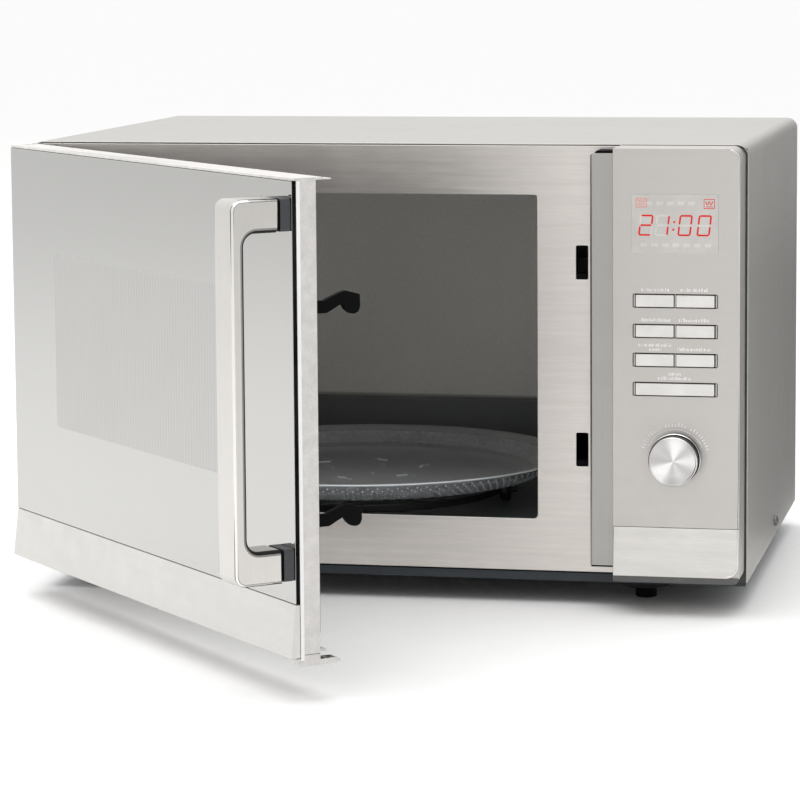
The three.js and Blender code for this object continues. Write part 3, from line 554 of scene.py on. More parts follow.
def makeMirror(viewSpan):
    # half-silvered glass; behind the see-through part the screen's fine rows show as a duller field
    s = mirrorSettings
    material, tree, shader = newMaterial(
        "mirrorGlass", {"Metallic": 1.0, "Coat Weight": 0.3, "Coat Roughness": 0.02})
    where = placeOf(tree)
    split = put(tree, "SeparateXYZ", {0: where}).outputs
    within = []
    for socket, (low, high) in zip((split[0], split[2]), viewSpan):
        away = worked(tree, "ABSOLUTE", worked(tree, "SUBTRACT", socket, (low + high) / 2))
        half = (high - low) / 2
        within.append(ranged(tree, away, half, half - s["edge"] * mm))
    inside = worked(tree, "MULTIPLY", *within)
    rows = put(tree, "TexWave", {"Vector": where, "Scale": s["rows"], "Distortion": 0.0}, bands_direction="X")
    columns = put(tree, "TexWave", {"Vector": where, "Scale": s["columns"], "Distortion": 0.0},
                  bands_direction="Z")
    faint = worked(tree, "MULTIPLY", columns.outputs[1], s["columnShare"])
    weave = worked(tree, "MULTIPLY_ADD", rows.outputs[1], 1 - s["columnShare"], faint)
    film = mixed(tree, weave, (*s["filmDark"], 1), (*s["filmPale"], 1))
    tree.links.new(mixed(tree, inside, (*s["glass"], 1), film), shader.inputs["Base Color"])
    rough = ranged(tree, inside, 0.0, 1.0, *s["gloss"])
    wiped = useGroup(tree, "marks", {"Vector": where, "Roughness": rough, "Amount": 0.03})
    tree.links.new(wiped.outputs["Roughness"], shader.inputs["Roughness"])
    return material


def makeGlass(name, tone, rough):
    material, tree, shader = newMaterial(name, {"Transmission Weight": 1.0, "IOR": 1.5, "Metallic": 0.0})
    where = placeOf(tree)
    grain = useGroup(tree, "speckle", {"Vector": where, "Scale": 260.0, "Tone": (*tone, 1), "Contrast": 0.02,
                                       "Rough": rough, "Rough Spread": 0.04})
    tree.links.new(grain.outputs["Color"], shader.inputs["Base Color"])
    tree.links.new(grain.outputs["Roughness"], shader.inputs["Roughness"])
    addBump(tree, shader, grain.outputs["Height"], 0.05, 0.05)
    return material


trayGlassSettings = {"clear": 0.68, "plain": (0.90, 0.92, 0.94), "lit": (1.0, 1.0, 1.0),
                     "slope": (0.122, 0.134), "lip": (0.150, 0.146),
                     "cells": 420.0, "paintedGlint": (0.32, 0.18), "gloss": (0.16, 0.30)}


def makeTrayGlass():
    # pressed glass, with a coarse bumped pattern on the slope below the rim whose glints are painted into its
    # colour
    s = trayGlassSettings
    material, tree, shader = newMaterial(
        "trayGlass", {"Transmission Weight": s["clear"], "IOR": 1.5, "Metallic": 0.0})
    where = placeOf(tree)
    split = put(tree, "SeparateXYZ", {0: where}).outputs
    flat = put(tree, "CombineXYZ", {0: split[0], 1: split[1]}).outputs[0]
    reach = put(tree, "VectorMath", {0: flat}, operation="LENGTH").outputs["Value"]
    band = worked(tree, "MULTIPLY", ranged(tree, reach, *s["slope"]), ranged(tree, reach, *s["lip"]))
    cells = put(tree, "TexVoronoi", {"Vector": where, "Scale": s["cells"], "Randomness": 0.7})
    cells = cells.outputs["Distance"]
    fine = put(tree, "TexNoise", {"Vector": where, "Scale": 700.0, "Detail": 2.0}).outputs[0]
    lit = worked(tree, "MULTIPLY", ranged(tree, cells, *s["paintedGlint"]), band)
    tree.links.new(mixed(tree, lit, (*s["plain"], 1), (*s["lit"], 1)), shader.inputs["Base Color"])
    tree.links.new(ranged(tree, band, 0.0, 1.0, *s["gloss"]), shader.inputs["Roughness"])
    height = worked(tree, "MULTIPLY_ADD", fine, 0.06, worked(tree, "MULTIPLY", cells, band))
    addBump(tree, shader, height, 0.9, 0.4)
    return material


spunSettings = {"dark": (0.44, 0.432, 0.424), "pale": (0.80, 0.79, 0.78), "rings": 5200.0, "gloss": (0.2, 0.3),
                "paintedSheenFans": ((2.0, 0.3), (3.0, 1.9), (5.0, 0.4)), "swing": 2.2}


def makeSpun():
    # face turned on a lathe: fine rings, and a painted sheen that opens in fans
    s = spunSettings
    material, tree, shader = newMaterial("spunAluminium", {"Metallic": 1.0, "Anisotropic": 0.85})
    where = placeOf(tree)
    split = put(tree, "SeparateXYZ", {0: where}).outputs
    flat = put(tree, "CombineXYZ", {0: split[0], 1: split[2]}).outputs[0]
    reach = put(tree, "VectorMath", {0: flat}, operation="LENGTH").outputs["Value"]
    turned = worked(tree, "MULTIPLY", reach, s["rings"])
    rings = put(tree, "TexNoise", {"W": turned, "Scale": 1.0, "Detail": 2.0}, noise_dimensions="1D")
    rings = rings.outputs[0]
    # painted highlight: the tone swings between dark and pale in fans round the face
    around = worked(tree, "ARCTAN2", split[0], split[2])
    angles = [worked(tree, "MULTIPLY_ADD", around, turns, shift) for turns, shift in s["paintedSheenFans"]]
    waves = [worked(tree, "SINE", angle) for angle in angles]
    paintedSheen = worked(tree, "ADD", worked(tree, "ADD", waves[0], waves[1]), waves[2])
    fan = put(tree, "MapRange", {0: paintedSheen, 1: -s["swing"], 2: s["swing"]}, interpolation_type="SMOOTHSTEP")
    base = mixed(tree, fan.outputs[0], (*s["dark"], 1), (*s["pale"], 1))
    tree.links.new(tinted(tree, base, rings, 0.08), shader.inputs["Base Color"])
    tree.links.new(ranged(tree, rings, 0.0, 1.0, *s["gloss"]), shader.inputs["Roughness"])
    tangent = put(tree, "Tangent", direction_type="RADIAL", axis="Y")
    tree.links.new(tangent.outputs[0], shader.inputs["Tangent"])
    addBump(tree, shader, rings, 0.1, 0.03)
    return material


def makeLight(name, tone, strength):
    # a lit segment, nearly black when it is off
    material, tree, shader = newMaterial(name, {"Emission Strength": strength, "Specular IOR Level": 0.0})
    grain = useGroup(tree, "speckle", {"Vector": placeOf(tree), "Scale": 2500.0, "Tone": (*tone, 1),
                                       "Contrast": 0.12, "Rough": 0.4, "Rough Spread": 0.1})
    unlit = mixed(tree, 0.85, grain.outputs["Color"], (0.0, 0.0, 0.0, 1))
    tree.links.new(unlit, shader.inputs["Base Color"])
    tree.links.new(grain.outputs["Roughness"], shader.inputs["Roughness"])
    tree.links.new(grain.outputs["Color"], shader.inputs["Emission Color"])
    return material


cavityEnamel = makeEnamel()
spunAluminium = makeSpun()
trayGlass = makeTrayGlass()
# pale opaque glass finish that paints glints on the tray's rim and studs
paintedGlintGlass = mouldedFinish("paintedGlintGlass", (0.74, 0.78, 0.80), 0.2, 1500, wear=0.0)
windowGlass = makeGlass("windowGlass", (0.85, 0.88, 0.88), 0.02)
lampGlass = makeGlass("lampGlass", (0.95, 0.93, 0.86), 0.06)
ghostGrey = mouldedFinish("ghostGrey", (0.575, 0.555, 0.535), 0.4, 700, contrast=0.03, metal=0.6)
digitRed = makeLight("digitRed", (0.72, 0.035, 0.03), 0.85)
iconRed = makeLight("iconRed", (0.85, 0.20, 0.16), 0.85)
print("materials made")


# Camera, light and floor.

cameraSettings = {"spot": (507.04, -2333.39, 447.88), "left": 0.2092, "down": 0.1107, "roll": -0.0075,
                  "lens": 151.485, "shiftUp": -0.1}


def aimCamera():
    s = cameraSettings
    ahead = Vector((-math.sin(s["left"]) * math.cos(s["down"]), math.cos(s["left"]) * math.cos(s["down"]),
                    -math.sin(s["down"])))
    across = Vector((math.cos(s["left"]), math.sin(s["left"]), 0))
    up = across.cross(ahead)
    right = across * math.cos(s["roll"]) + up * math.sin(s["roll"])
    top = up * math.cos(s["roll"]) - across * math.sin(s["roll"])
    lens = bpy.data.cameras.new("camera")
    lens.lens = s["lens"]
    lens.shift_y = s["shiftUp"]
    lens.clip_end = 100
    camera = bpy.data.objects.new("camera", lens)
    turn = Matrix((right, top, -ahead)).transposed().to_4x4()
    camera.matrix_world = Matrix.Translation(toRow @ Vector(s["spot"])) @ turn
    bpy.context.scene.collection.objects.link(camera)
    bpy.context.scene.camera = camera


lightSettings = {
    "world": 1.12, "dark": 0.55, "sideFrom": 0.1, "sideTo": 0.7,
    "lamps": [{"name": "top_softbox", "at": (-0.3, -0.2, 2.4), "aim": (-0.1, 0, 0), "size": 3.2, "power": 46}],
    "card": {"from": (0.62, 0.42), "to": (1.9, 7.0), "height": 1.3, "tone": 0.21, "lying": (0.29, 2.5),
             "floorGap": 0.002, "reach": 0.3},
    "floorHalf": 40,
}


def lightScene():
    # a white room that falls away to grey on the right
    s = lightSettings
    world = bpy.data.worlds.new("studio")
    bpy.context.scene.world = world
    world.use_nodes = True
    tree = world.node_tree
    sky = tree.nodes["Background"]
    heading = put(tree, "TexCoord").outputs["Generated"]
    split = put(tree, "SeparateXYZ", {0: heading}).outputs
    fade = put(tree, "MapRange", {0: split[0], 1: s["sideFrom"], 2: s["sideTo"], 3: 1.0, 4: s["dark"]},
               interpolation_type="SMOOTHSTEP")
    grey = put(tree, "CombineColor", {i: fade.outputs[0] for i in range(3)})
    tree.links.new(grey.outputs[0], sky.inputs["Color"])
    sky.inputs["Strength"].default_value = s["world"]
    for lamp in s["lamps"]:
        glow = bpy.data.lights.new(lamp["name"], "AREA")
        glow.size = lamp["size"]
        glow.energy = lamp["power"]
        holder = bpy.data.objects.new(lamp["name"], glow)
        holder.location = lamp["at"]
        aim = Vector(lamp["aim"]) - Vector(lamp["at"])
        holder.rotation_euler = aim.to_track_quat("-Z", "Y").to_euler()
        bpy.context.scene.collection.objects.link(holder)


def standCard():
    # a dark card out of the camera's sight keeps the white floor out of the side's reflection
    s = lightSettings["card"]
    (x0, y0), (x1, y1) = s["from"], s["to"]
    near, far = s["lying"]
    low, high = s["floorGap"], s["height"]
    shape = bmesh.new()
    for corners in (
        [(x0, y0, low), (x1, y1, low), (x1, y1, high), (x0, y0, high)],
        [(near, near, low), (x0, y0 - s["reach"], low), (x1, y1, low), (near, far, low)],
    ):
        shape.faces.new([shape.verts.new(corner) for corner in corners])
    card = looseObject(shape, "dark_card")
    card.data.materials.append(mouldedFinish("cardPaint", (s["tone"],) * 3, 0.8, 40, bump=0.0, wear=0.0))
    card.visible_camera = False
    card.visible_shadow = False
    card.visible_diffuse = False


def layFloor():
    shape = bmesh.new()
    bmesh.ops.create_grid(shape, x_segments=8, y_segments=8, size=lightSettings["floorHalf"])
    floor = looseObject(shape, "floor")
    floor.data.materials.append(floorPaint)


bpy.context.scene.view_settings.view_transform = "Standard"
aimCamera()
lightScene()
layFloor()
standCard()
print("camera, light and floor set")


# Cabinet.

coverSettings = {"bend": 8, "sheet": 1, "steps": 12, "edge": 0.4, "screwHole": 2.2, "slotDrop": (7, 6)}


def makeCover():
    s = coverSettings
    (left, right), (front, back), (bottom, top) = spanOf("outer_wrapper")
    bend, sheet, steps = s["bend"], s["sheet"], s["steps"]
    outer = [(left, bottom)] + arcPoints(left + bend, top - bend, bend, 180, 90, steps)
    outer += arcPoints(right - bend, top - bend, bend, 90, 0, steps) + [(right, bottom)]
    inner = [(right - sheet, bottom)] + arcPoints(right - bend, top - bend, bend - sheet, 0, 90, steps)
    inner += arcPoints(left + bend, top - bend, bend - sheet, 90, 180, steps) + [(left + sheet, bottom)]
    shell = prism(outer + inner, front, back, "y")
    y, z = middleOf("side_screw", (1, 2))
    holes = [disc(s["screwHole"], 8, (right, y, z), "x"),
             disc(s["screwHole"], 8, (right, y + s["slotDrop"][0], z - s["slotDrop"][1]), "x")]
    addPiece("outer_cover", carved(shell, *holes), "cabinet", coverSteel, ["outer_wrapper"],
             soften=s["edge"])


plateSettings = {"sheet": 1.2, "corner": 8, "mouthCorner": (3.5, 2, 2, 3.5), "slotCorner": 1, "edge": 0.45,
                 "mouth": (-220.7, 110.7, 42, 272.9), "slots": (138.7, 147, 24, (80.4, 213.4)),
                 "ductWall": 1.2, "ductDepth": (1.25, 9)}


def makeFrontPlate():
    s = plateSettings
    (left, right), (front, back), (bottom, top) = spanOf("front_plate")
    plate = prism(roundedOutline(left, right, bottom, top, (0, 0, s["corner"], 0)), front, back, "y")
    tools = [prism(roundedOutline(*s["mouth"], s["mouthCorner"], 10), front - 2, back + 2, "y")]
    slotLeft, slotRight, height, bottoms = s["slots"]
    for z in bottoms:
        outline = roundedOutline(slotLeft, slotRight, z, z + height, s["slotCorner"], 4)
        tools.append(prism(outline, front - 2, back + 2, "y"))
    addPiece("brushed_front_plate", carved(plate, *tools), "cabinet", plateSteel,
             ["front_plate"], soften=s["edge"])
    # dark ducts behind the slots take the hooks; the wall next to the channel is thin
    ducts = []
    room, wall, (near, far) = 0.2, s["ductWall"], s["ductDepth"]
    for z in bottoms:
        low, high = z - room, z + height + room
        outer = roundedOutline(slotLeft - room - wall, slotRight + 0.6, low - wall, high + wall, 1.2, 4)
        inner = roundedOutline(slotLeft - room, slotRight + room, low, high, 1, 4)
        ducts.append(carved(prism(outer, near, far, "y"), prism(inner, 0, far + 3, "y")))
    addPiece("slot_ducts", together(*ducts), "cabinet", blackPlastic, soften=0.2)


cavitySettings = {"corner": 12, "wall": 1, "stepTop": 82, "stepDeep": 6, "stepRound": 3, "couplerHole": 8,
                  "feedPort": ((150, 222), (150, 206)), "lampHole": 1.6, "lampPitch": (4.8, 4.16),
                  "lampAt": (250, 240), "lampReach": 13.5}


def makeCavity():
    s = cavitySettings
    (left, right), (front, back), (bottom, top) = spanOf("cavity_shell")
    wall = s["wall"]
    outer = block((left, right), (front, back), (bottom, top))
    hollow = looseObject(block((left + wall, right - wall), (front - s["corner"] * 5, back - wall),
                               (bottom + wall, top - wall)))
    rounding = hollow.modifiers.new("round", "BEVEL")
    rounding.width = s["corner"]
    rounding.segments = 8
    bakeModifiers(hollow)
    inner = bmesh.new()
    inner.from_mesh(hollow.data)
    bpy.data.objects.remove(hollow)
    stepFront = back - wall - s["stepDeep"]
    half, curve = wall / 2, s["stepRound"]
    section = [(back - half, bottom + half), (back - half, s["stepTop"])]
    section += arcPoints(stepFront + curve, s["stepTop"] - curve, curve, 90, 180, 6)
    section += [(stepFront, bottom + half)]
    step = prism(section, left + half, right - half, "x")
    shell = carved(carved(outer, inner), step, operation="UNION")
    tools = [disc(s["couplerHole"], 12, (*middleOf("glass_tray", (0, 1)), bottom), "z"),
             block((right - 2, right + 2), *s["feedPort"])]
    # a round patch of small holes in front of the lamp
    for row in range(-3, 4):
        for column in range(-3, 4):
            y, z = column * s["lampPitch"][0], row * s["lampPitch"][1]
            if math.hypot(y, z) < s["lampReach"]:
                spot = (right, s["lampAt"][0] + y, s["lampAt"][1] + z)
                tools.append(disc(s["lampHole"], 6, spot, "x", 10))
    addPiece("oven_cavity_liner", carved(shell, *tools), "cabinet", cavityEnamel,
             ["cavity_shell"], soften=0.2, segments=2)


footSettings = {"steps": 40, "recess": 1.6, "hole": 2.6, "round": 1.4, "groove": 0.5}


def makeFeet():
    s = footSettings
    curve, groove = s["round"], s["groove"]
    for corner in ("front_left", "front_right", "rear_left", "rear_right"):
        (x0, x1), (y0, y1), (z0, z1) = spanOf(corner + "_foot")
        radius = (x1 - x0) / 2
        profile = [(0, z0 + s["recess"]), (s["hole"], z0 + s["recess"]), (s["hole"] + 0.3, z0 + 0.6)]
        profile += [(radius - 2.2, z0), (radius - curve, z0)]
        profile += arcPoints(radius - curve, z0 + curve, curve, -90, 0, 5)[1:]
        profile += [(radius, z1 - 2.4), (radius - groove, z1 - 2), (radius - groove, z1 - 1.4)]
        profile += [(radius, z1 - 1), (radius, z1), (0, z1)]
        foot = moved(turnedShape(profile, s["steps"]), ((x0 + x1) / 2, (y0 + y1) / 2, 0))
        addPiece(corner + "_rubber_foot", foot, "cabinet", rubber, [corner + "_foot"])


def screwShape(radius, height):
    # pan head with a cross recess, its stem below
    domed = [(1.0, 0.35), (0.92, 0.62), (0.72, 0.86), (0.4, 0.98), (0, 1)]
    profile = [(0, -4), (1.6, -4), (1.6, 0), (radius, 0)]
    head = turnedShape(profile + [(radius * out, height * up) for out, up in domed], 32)
    across = block((-radius * 0.62, radius * 0.62), (-0.45, 0.45), (height * 0.45, height + 1))
    down = block((-0.44, 0.44), (-radius * 0.6, radius * 0.6), (height * 0.46, height + 1))
    return carved(carved(head, across), down)


screwSettings = {"side": (4.1, 2.5, 0.5), "rear": (3.4, 1.8, 0.7), "rearSides": (-248, 248),
                 "rearHeights": (24, 150, 290), "rearTop": ((-90, 299), (90, 299))}


def makeScrews():
    s = screwSettings
    radius, height, spin = s["side"]
    head = moved(screwShape(radius, height), (coverHalf + 0.1, *middleOf("side_screw", (1, 2))), "x", spin)
    addPiece("side_cover_screw", head, "cabinet", screwSteel, ["side_screw"])
    back = spanOf("rear_panel")[1][1]
    radius, height, spin = s["rear"]
    places = [(x, z) for x in s["rearSides"] for z in s["rearHeights"]] + list(s["rearTop"])
    heads = []
    about = Matrix.Rotation(math.pi, 3, "Z")
    for i, (x, z) in enumerate(places):
        head = moved(screwShape(radius, height), (x, back, z), "y", spin * i)
        bmesh.ops.rotate(head, cent=(0, back, 0), matrix=about, verts=head.verts)
        heads.append(head)
    addPiece("rear_panel_screws", together(*heads), "cabinet", zincSteel)


coverHalf = spanOf("outer_wrapper")[0][1]
makeCover()
makeFrontPlate()
makeCavity()
makeFeet()
makeScrews()
print("cabinet made")


# Control panel.

panelSettings = {"wall": 2, "corners": (5.5, 8, 1, 1), "innerCorners": (3.5, 6, 0.5, 0.5), "edge": 0.6,
                 "trimTop": 44.3, "trimSeat": 1.3, "bead": 0.75, "trimCorner": 9, "keyCorner": 1,
                 "shaftHole": 5, "keyRoom": (2.2, 0.8), "windowRoom": 0.15, "windowLedge": 2}


def keyRecesses():
    # one recess for each row of buttons, a little wider than the caps
    aside, above = panelSettings["keyRoom"]
    pairs = [(f"left_button_{row}", f"right_button_{row}") for row in (1, 2, 3)] + [("start_button",) * 2]
    recesses = []
    for first, last in pairs:
        (left, _), _, (low, high) = spanOf(first)
        right = spanOf(last)[0][1]
        recesses.append((left - aside, right + aside, low - above, high + above))
    return recesses


def makePanel():
    s = panelSettings
    (left, right), (front, back), (bottom, top) = spanOf("control_panel_housing")
    wall = s["wall"]
    housing = prism(roundedOutline(left, right, bottom, top, s["corners"], 10), front, back, "y")
    hollow = roundedOutline(left + wall, right - wall, bottom + wall, top - wall, s["innerCorners"], 6)
    inside = prism(hollow, front + wall, back + 5, "y")
    (x0, x1), (_, lensBack), (z0, z1) = spanOf("display_window")
    room, ledge = s["windowRoom"], s["windowLedge"]
    knobX, knobZ = middleOf("dial_knob", (0, 2))
    tools = [
        block((x0 - room, x1 + room), (front - 2, lensBack + room * 2), (z0 - room, z1 + room)),
        block((x0 + ledge, x1 - ledge), (front - 2, front + 5), (z0 + ledge, z1 - ledge)),
        block((left - 1, right + 1), (front - 1, front + s["trimSeat"]), (bottom - 1, s["trimTop"])),
        disc(s["shaftHole"], 12, (knobX, front, knobZ), "y"),
    ]
    for x0, x1, z0, z1 in keyRecesses():
        tools.append(prism(roundedOutline(x0, x1, z0, z1, s["keyCorner"], 4), front - 1, front + 5, "y"))
    shell = carved(housing, inside)
    for tool in tools:
        shell = carved(shell, tool)
    addPiece("control_panel_shell", shell, "cabinet", panelSteel, ["control_panel_housing"],
             soften=s["edge"])


edgeSettings = {"paintedLipCorner": 4.4, "paintedLipDeep": (0.3, 1.4), "paintedGapWide": (9, 1.05), "paintedGapDeep": (0.3, 1.1),
                "topPaintedGapDeep": (-0.28, -0.04), "topPaintedGapHigh": (-4, 0.35)}


def makePanelEdges():
    e = edgeSettings
    (left, right), (front, _), (bottom, top) = spanOf("control_panel_housing")
    _, (trimFront, _), (trimLow, _) = spanOf("panel_lower_trim")
    # painted shade: a dark lip under the trim, and dark strips in the narrow gap between the panel and the cover
    outline = roundedOutline(left + 0.3, right - 0.2, bottom, trimLow - 0.2, (e["paintedLipCorner"], 0, 0, 0), 8)
    lip = prism(outline, *[front + deep for deep in e["paintedLipDeep"]], "y")
    addPiece("panel_lower_painted_shade", lip, "cabinet", paintedShadeLip, soften=0.35, segments=2)
    # painted shadow: dark strips stand in the gap at the side and along the panel's top
    wide, gap = e["paintedGapWide"]
    paintedGapShade = [block((right - wide, coverHalf - gap), e["paintedGapDeep"], (0.6, top - 2)),
            block((left + 2, right - 5), e["topPaintedGapDeep"], [top + high for high in e["topPaintedGapHigh"]])]
    addPiece("panel_gap_painted_shade", together(*paintedGapShade), "cabinet", paintedShadeGrey)
    # rolled edge down the right side, following the trim's slope at the foot
    s = panelSettings
    curve, bead, trimTop = s["corners"][1], s["bead"], s["trimTop"]
    deep = front + bead * 0.8
    path = [(u, deep, v) for u, v in arcPoints(right - curve, top - curve, curve - bead, 80, 0, 8)]
    path += [(right - bead, deep, trimTop)]
    addPiece("panel_edge_bead", wireShape(path, bead, 12), "cabinet", handlePolish)
    curve, inset = s["trimCorner"], 0.3
    lean = (trimFront - front) / (trimTop - trimLow)
    path = [(right - bead - inset, deep, trimTop - inset * 2)]
    for u, v in arcPoints(right - curve - inset, trimLow + curve, curve - bead, 0, -80, 8):
        path.append((u, deep + lean * (trimTop - v), v))
    addPiece("trim_edge_bead", wireShape(path, bead, 12), "cabinet", handlePolish)


wellSettings = {"wall": 1, "front": 2.1, "back": 7.4, "floor": 6.2, "stemHole": 3.4, "places": (0.27, 0.73),
                "bezelWide": 1.1, "bezelIn": 0.45, "bezelShort": 0.5}


def makeKeyTrays():
    # wells that the buttons sink into, painted dark as shade, with bright bars at their ends and between the caps
    s = wellSettings
    front = spanOf("control_panel_housing")[1][0]
    wall, wide = s["wall"], s["bezelWide"]
    wells, bezels, dividers = [], [], []
    for index, (x0, x1, z0, z1) in enumerate(keyRecesses()):
        outer = roundedOutline(x0 - wall, x1 + wall, z0 - wall, z1 + wall, 1.5, 4)
        inner = roundedOutline(x0, x1, z0, z1, 1, 4)
        well = carved(prism(outer, front + s["front"], front + s["back"], "y"),
                      prism(inner, front + 1, front + s["floor"], "y"))
        middle = (x0 + x1) / 2
        posts = [middle] if index == 3 else [x0 + (x1 - x0) * place for place in s["places"]]
        for x in posts:
            well = carved(well, disc(s["stemHole"], 6, (x, front + 7, (z0 + z1) / 2), "y"))
        wells.append(well)
        low, high = z0 + s["bezelShort"], z1 - s["bezelShort"]
        for edge in (x0 + s["bezelIn"], x1 - s["bezelIn"] - wide):
            outline = roundedOutline(edge, edge + wide, low, high, 0.3, 3)
            bezels.append(prism(outline, front + 0.5, front + 2.4, "y"))
        if index != 3:
            sides = (middle - wide / 2, middle + wide / 2)
            dividers.append(block(sides, (front + 0.7, front + 2.4), (z0 + 0.4, z1 - 0.4)))
    addPiece("button_wells", together(*wells), "cabinet", paintedShadeGrey)
    addPiece("button_bezels", together(*bezels, *dividers), "cabinet", channelSteel, soften=0.2,
             segments=2)


buttonSettings = {"edge": 0.55, "corner": 0.5, "cap": 4.2, "stem": 2.2, "overlap": 1.2}


def makeButtons():
    s = buttonSettings
    names = [f"{side}_button_{row}" for row in (1, 2, 3) for side in ("left", "right")] + ["start_button"]
    for name in names:
        (x0, x1), (y0, y1), (z0, z1) = spanOf(name)
        cap = prism(roundedOutline(x0, x1, z0, z1, s["corner"], 3), y0, y0 + s["cap"], "y")
        start = y0 + s["cap"] - s["overlap"]
        stem = disc(s["stem"], y1 - start, ((x0 + x1) / 2, (start + y1) / 2, (z0 + z1) / 2), "y", 16)
        button = carved(cap, stem, operation="UNION")
        addPiece(name + "_cap", button, name, keySilver, [name], soften=s["edge"])


knobSettings = {"steps": 144, "knurl": 0.12, "dish": 0.9, "faceIn": 1.0, "edge": 0.8, "gleam": (2.6, 3.6),
                "rings": (12.5, 10, 7.5, 5, 2.5)}


def makeKnob():
    s = knobSettings
    (x0, x1), (y0, _), (z0, z1) = spanOf("dial_knob")
    front = spanOf("control_panel_housing")[1][0]
    rim = (x1 - x0) / 2
    out = front - y0
    face, edge, dish = rim - s["faceIn"], s["edge"], s["dish"]
    profile = [(0, 0.9), (rim - 1, 0.9), (rim, 1.7), (rim, 3.2), (rim - 0.5, 3.7), (rim - 1.1, 3.9)]
    profile += [(face - 0.1, 4.6), (face, out - 1.6)]
    profile += arcPoints(face - edge, out - edge, edge, 0, 90, 6)
    profile += [(face - 1.1, out - 0.1), (face - 1.5, out - 0.4)]
    profile += [(r, out - dish + 0.3 * (r / face) ** 2) for r in s["rings"]] + [(0, out - dish)]

    def knurl(radius, height, index):
        on = 4.4 < height < out - 1.2 and radius > face - 0.2
        return radius - s["knurl"] * (index % 2) if on else radius

    centre = ((x0 + x1) / 2, front, (z0 + z1) / 2)
    knob = moved(turnedShape(profile, s["steps"], knurl), centre, "y")
    knob = addPiece("spun_dial_knob", knob, "dial", [spunAluminium, knobPaintedShade], ["dial_knob"],
                    centre=centre)
    # painted shade: near-black sides stand for their dark reflection, apart from a bright line round the foot
    near, far = s["gleam"]
    for polygon in knob.data.polygons:
        depth = -polygon.center.y / mm
        if depth < out - 1.1 and not near < depth < far:
            polygon.material_index = 1


trimSettings = {"slope": 3, "doorSlope": 4, "edge": 0.5, "doorEdge": 0.6}


def trimBar(node, slope):
    # bar whose front leans forwards to its foot
    (left, right), (front, back), (bottom, top) = spanOf(node)
    return prism([(back, bottom), (back, top), (front + slope, top), (front, bottom)], left, right, "x")


def makePanelTrim():
    s = trimSettings
    (left, right), (front, back), (bottom, top) = spanOf("panel_lower_trim")
    corners = (panelSettings["trimCorner"], 0, 0, 0)
    outline = prism(roundedOutline(left, right, bottom, top, corners, 10), front - 5, back + 5, "y")
    bar = carved(trimBar("panel_lower_trim", s["slope"]), outline, operation="INTERSECT")
    addPiece("panel_bottom_trim", bar, "cabinet", trimSteel, ["panel_lower_trim"],
             soften=s["edge"])


channelSettings = {"curve": 1.6, "edge": 0.35}


def makeChannel():
    s = channelSettings
    (left, right), (front, back), (bottom, top) = spanOf("panel_side_channel")
    curve = s["curve"]
    outline = [(left, back), (right, back), (right, front)]
    outline += arcPoints(left + curve, front + curve, curve, 270, 180, 5)
    strip = prism(outline, bottom, top, "z")
    cut = [(left - 1, top + 1), (left + 3, top + 1), (left - 1, top - 2.2)]
    corner = prism(cut, front - 1, back + 1, "y")
    addPiece("door_side_channel", carved(strip, corner), "cabinet", channelSteel,
             ["panel_side_channel"], soften=s["edge"])
    # painted shade: black pieces at the channel's top and foot stand for the dark gaps there
    slant = [(left + 3, top + 0.1), (right, top + 0.1), (right, top + 2), (left + 5, top + 2)]
    cap = prism(slant, front + 0.4, back, "y")
    foot = block((left + 0.6, right), (front + 0.6, back), (bottom - 1.2, bottom - 0.1))
    addPiece("channel_end_painted_shade", together(cap, foot), "cabinet", blackPlastic, soften=0.25)


segmentStrokes = {"0": "abcdef", "1": "bc", "2": "abdeg", "8": "abcdefg"}
displaySettings = {"bottom": 247.8, "height": 14.6, "text": "2100", "places": (187.2, 198.6, 214.4, 227.6),
                   "wide": 9.2, "stroke": 1.2, "gap": 0.5, "lean": 0.12, "thick": 0.12,
                   "colon": 211.2, "dots": (0.3, 0.66), "lensRoom": 0.14,
                   "marks": ((240.2, 7, 0), (269.0, 5, 3.4)), "markLeft": 189, "markPitch": 7.4,
                   "leftSymbol": (185.6, 193.3, 267.4, 273.6), "rightSymbol": (232.7, 240.4, 266.7, 273.5)}


def digitShapes(text, left, s, front):
    # seven slanted strokes with pointed ends
    wide, high, h, gap = s["wide"], s["height"], s["stroke"] / 2, s["gap"]
    mid = high / 2
    ends = {"a": ((0, high), (wide, high)), "g": ((0, mid), (wide, mid)), "d": ((0, 0), (wide, 0)),
            "f": ((0, mid), (0, high)), "b": ((wide, mid), (wide, high)),
            "e": ((0, 0), (0, mid)), "c": ((wide, 0), (wide, mid))}
    shapes = []
    for key in segmentStrokes[text]:
        (u0, v0), (u1, v1) = ends[key]
        if v0 == v1:
            v0 = min(max(v0, h), high - h)
            a, b = u0 + gap + h, u1 - gap - h
            points = [(a - h + .2, v0), (a, v0 - h), (b, v0 - h), (b + h - .2, v0), (b, v0 + h), (a, v0 + h)]
        else:
            u0 = min(max(u0, h), wide - h)
            a, b = v0 + gap + h * 0.6, v1 - gap - h * 0.6
            points = [(u0, a - h * .5), (u0 + h, a + .3), (u0 + h, b - .3),
                      (u0, b + h * .5), (u0 - h, b - .3), (u0 - h, a + .3)]
        placed = [(left + u + s["lean"] * v, s["bottom"] + v) for u, v in points]
        shapes.append(prism(placed, front - s["thick"], front, "y"))
    return shapes


def ribbon(points, width, low, high):
    # a thin flat line through points in the panel's plane
    half = width / 2
    sides = ([], [])
    for i, (u, v) in enumerate(points):
        before, after = points[max(i - 1, 0)], points[min(i + 1, len(points) - 1)]
        du, dv = after[0] - before[0], after[1] - before[1]
        size = math.hypot(du, dv)
        sides[0].append((u - dv / size * half, v + du / size * half))
        sides[1].append((u + dv / size * half, v - du / size * half))
    return prism(sides[0] + sides[1][::-1], low, high, "y")


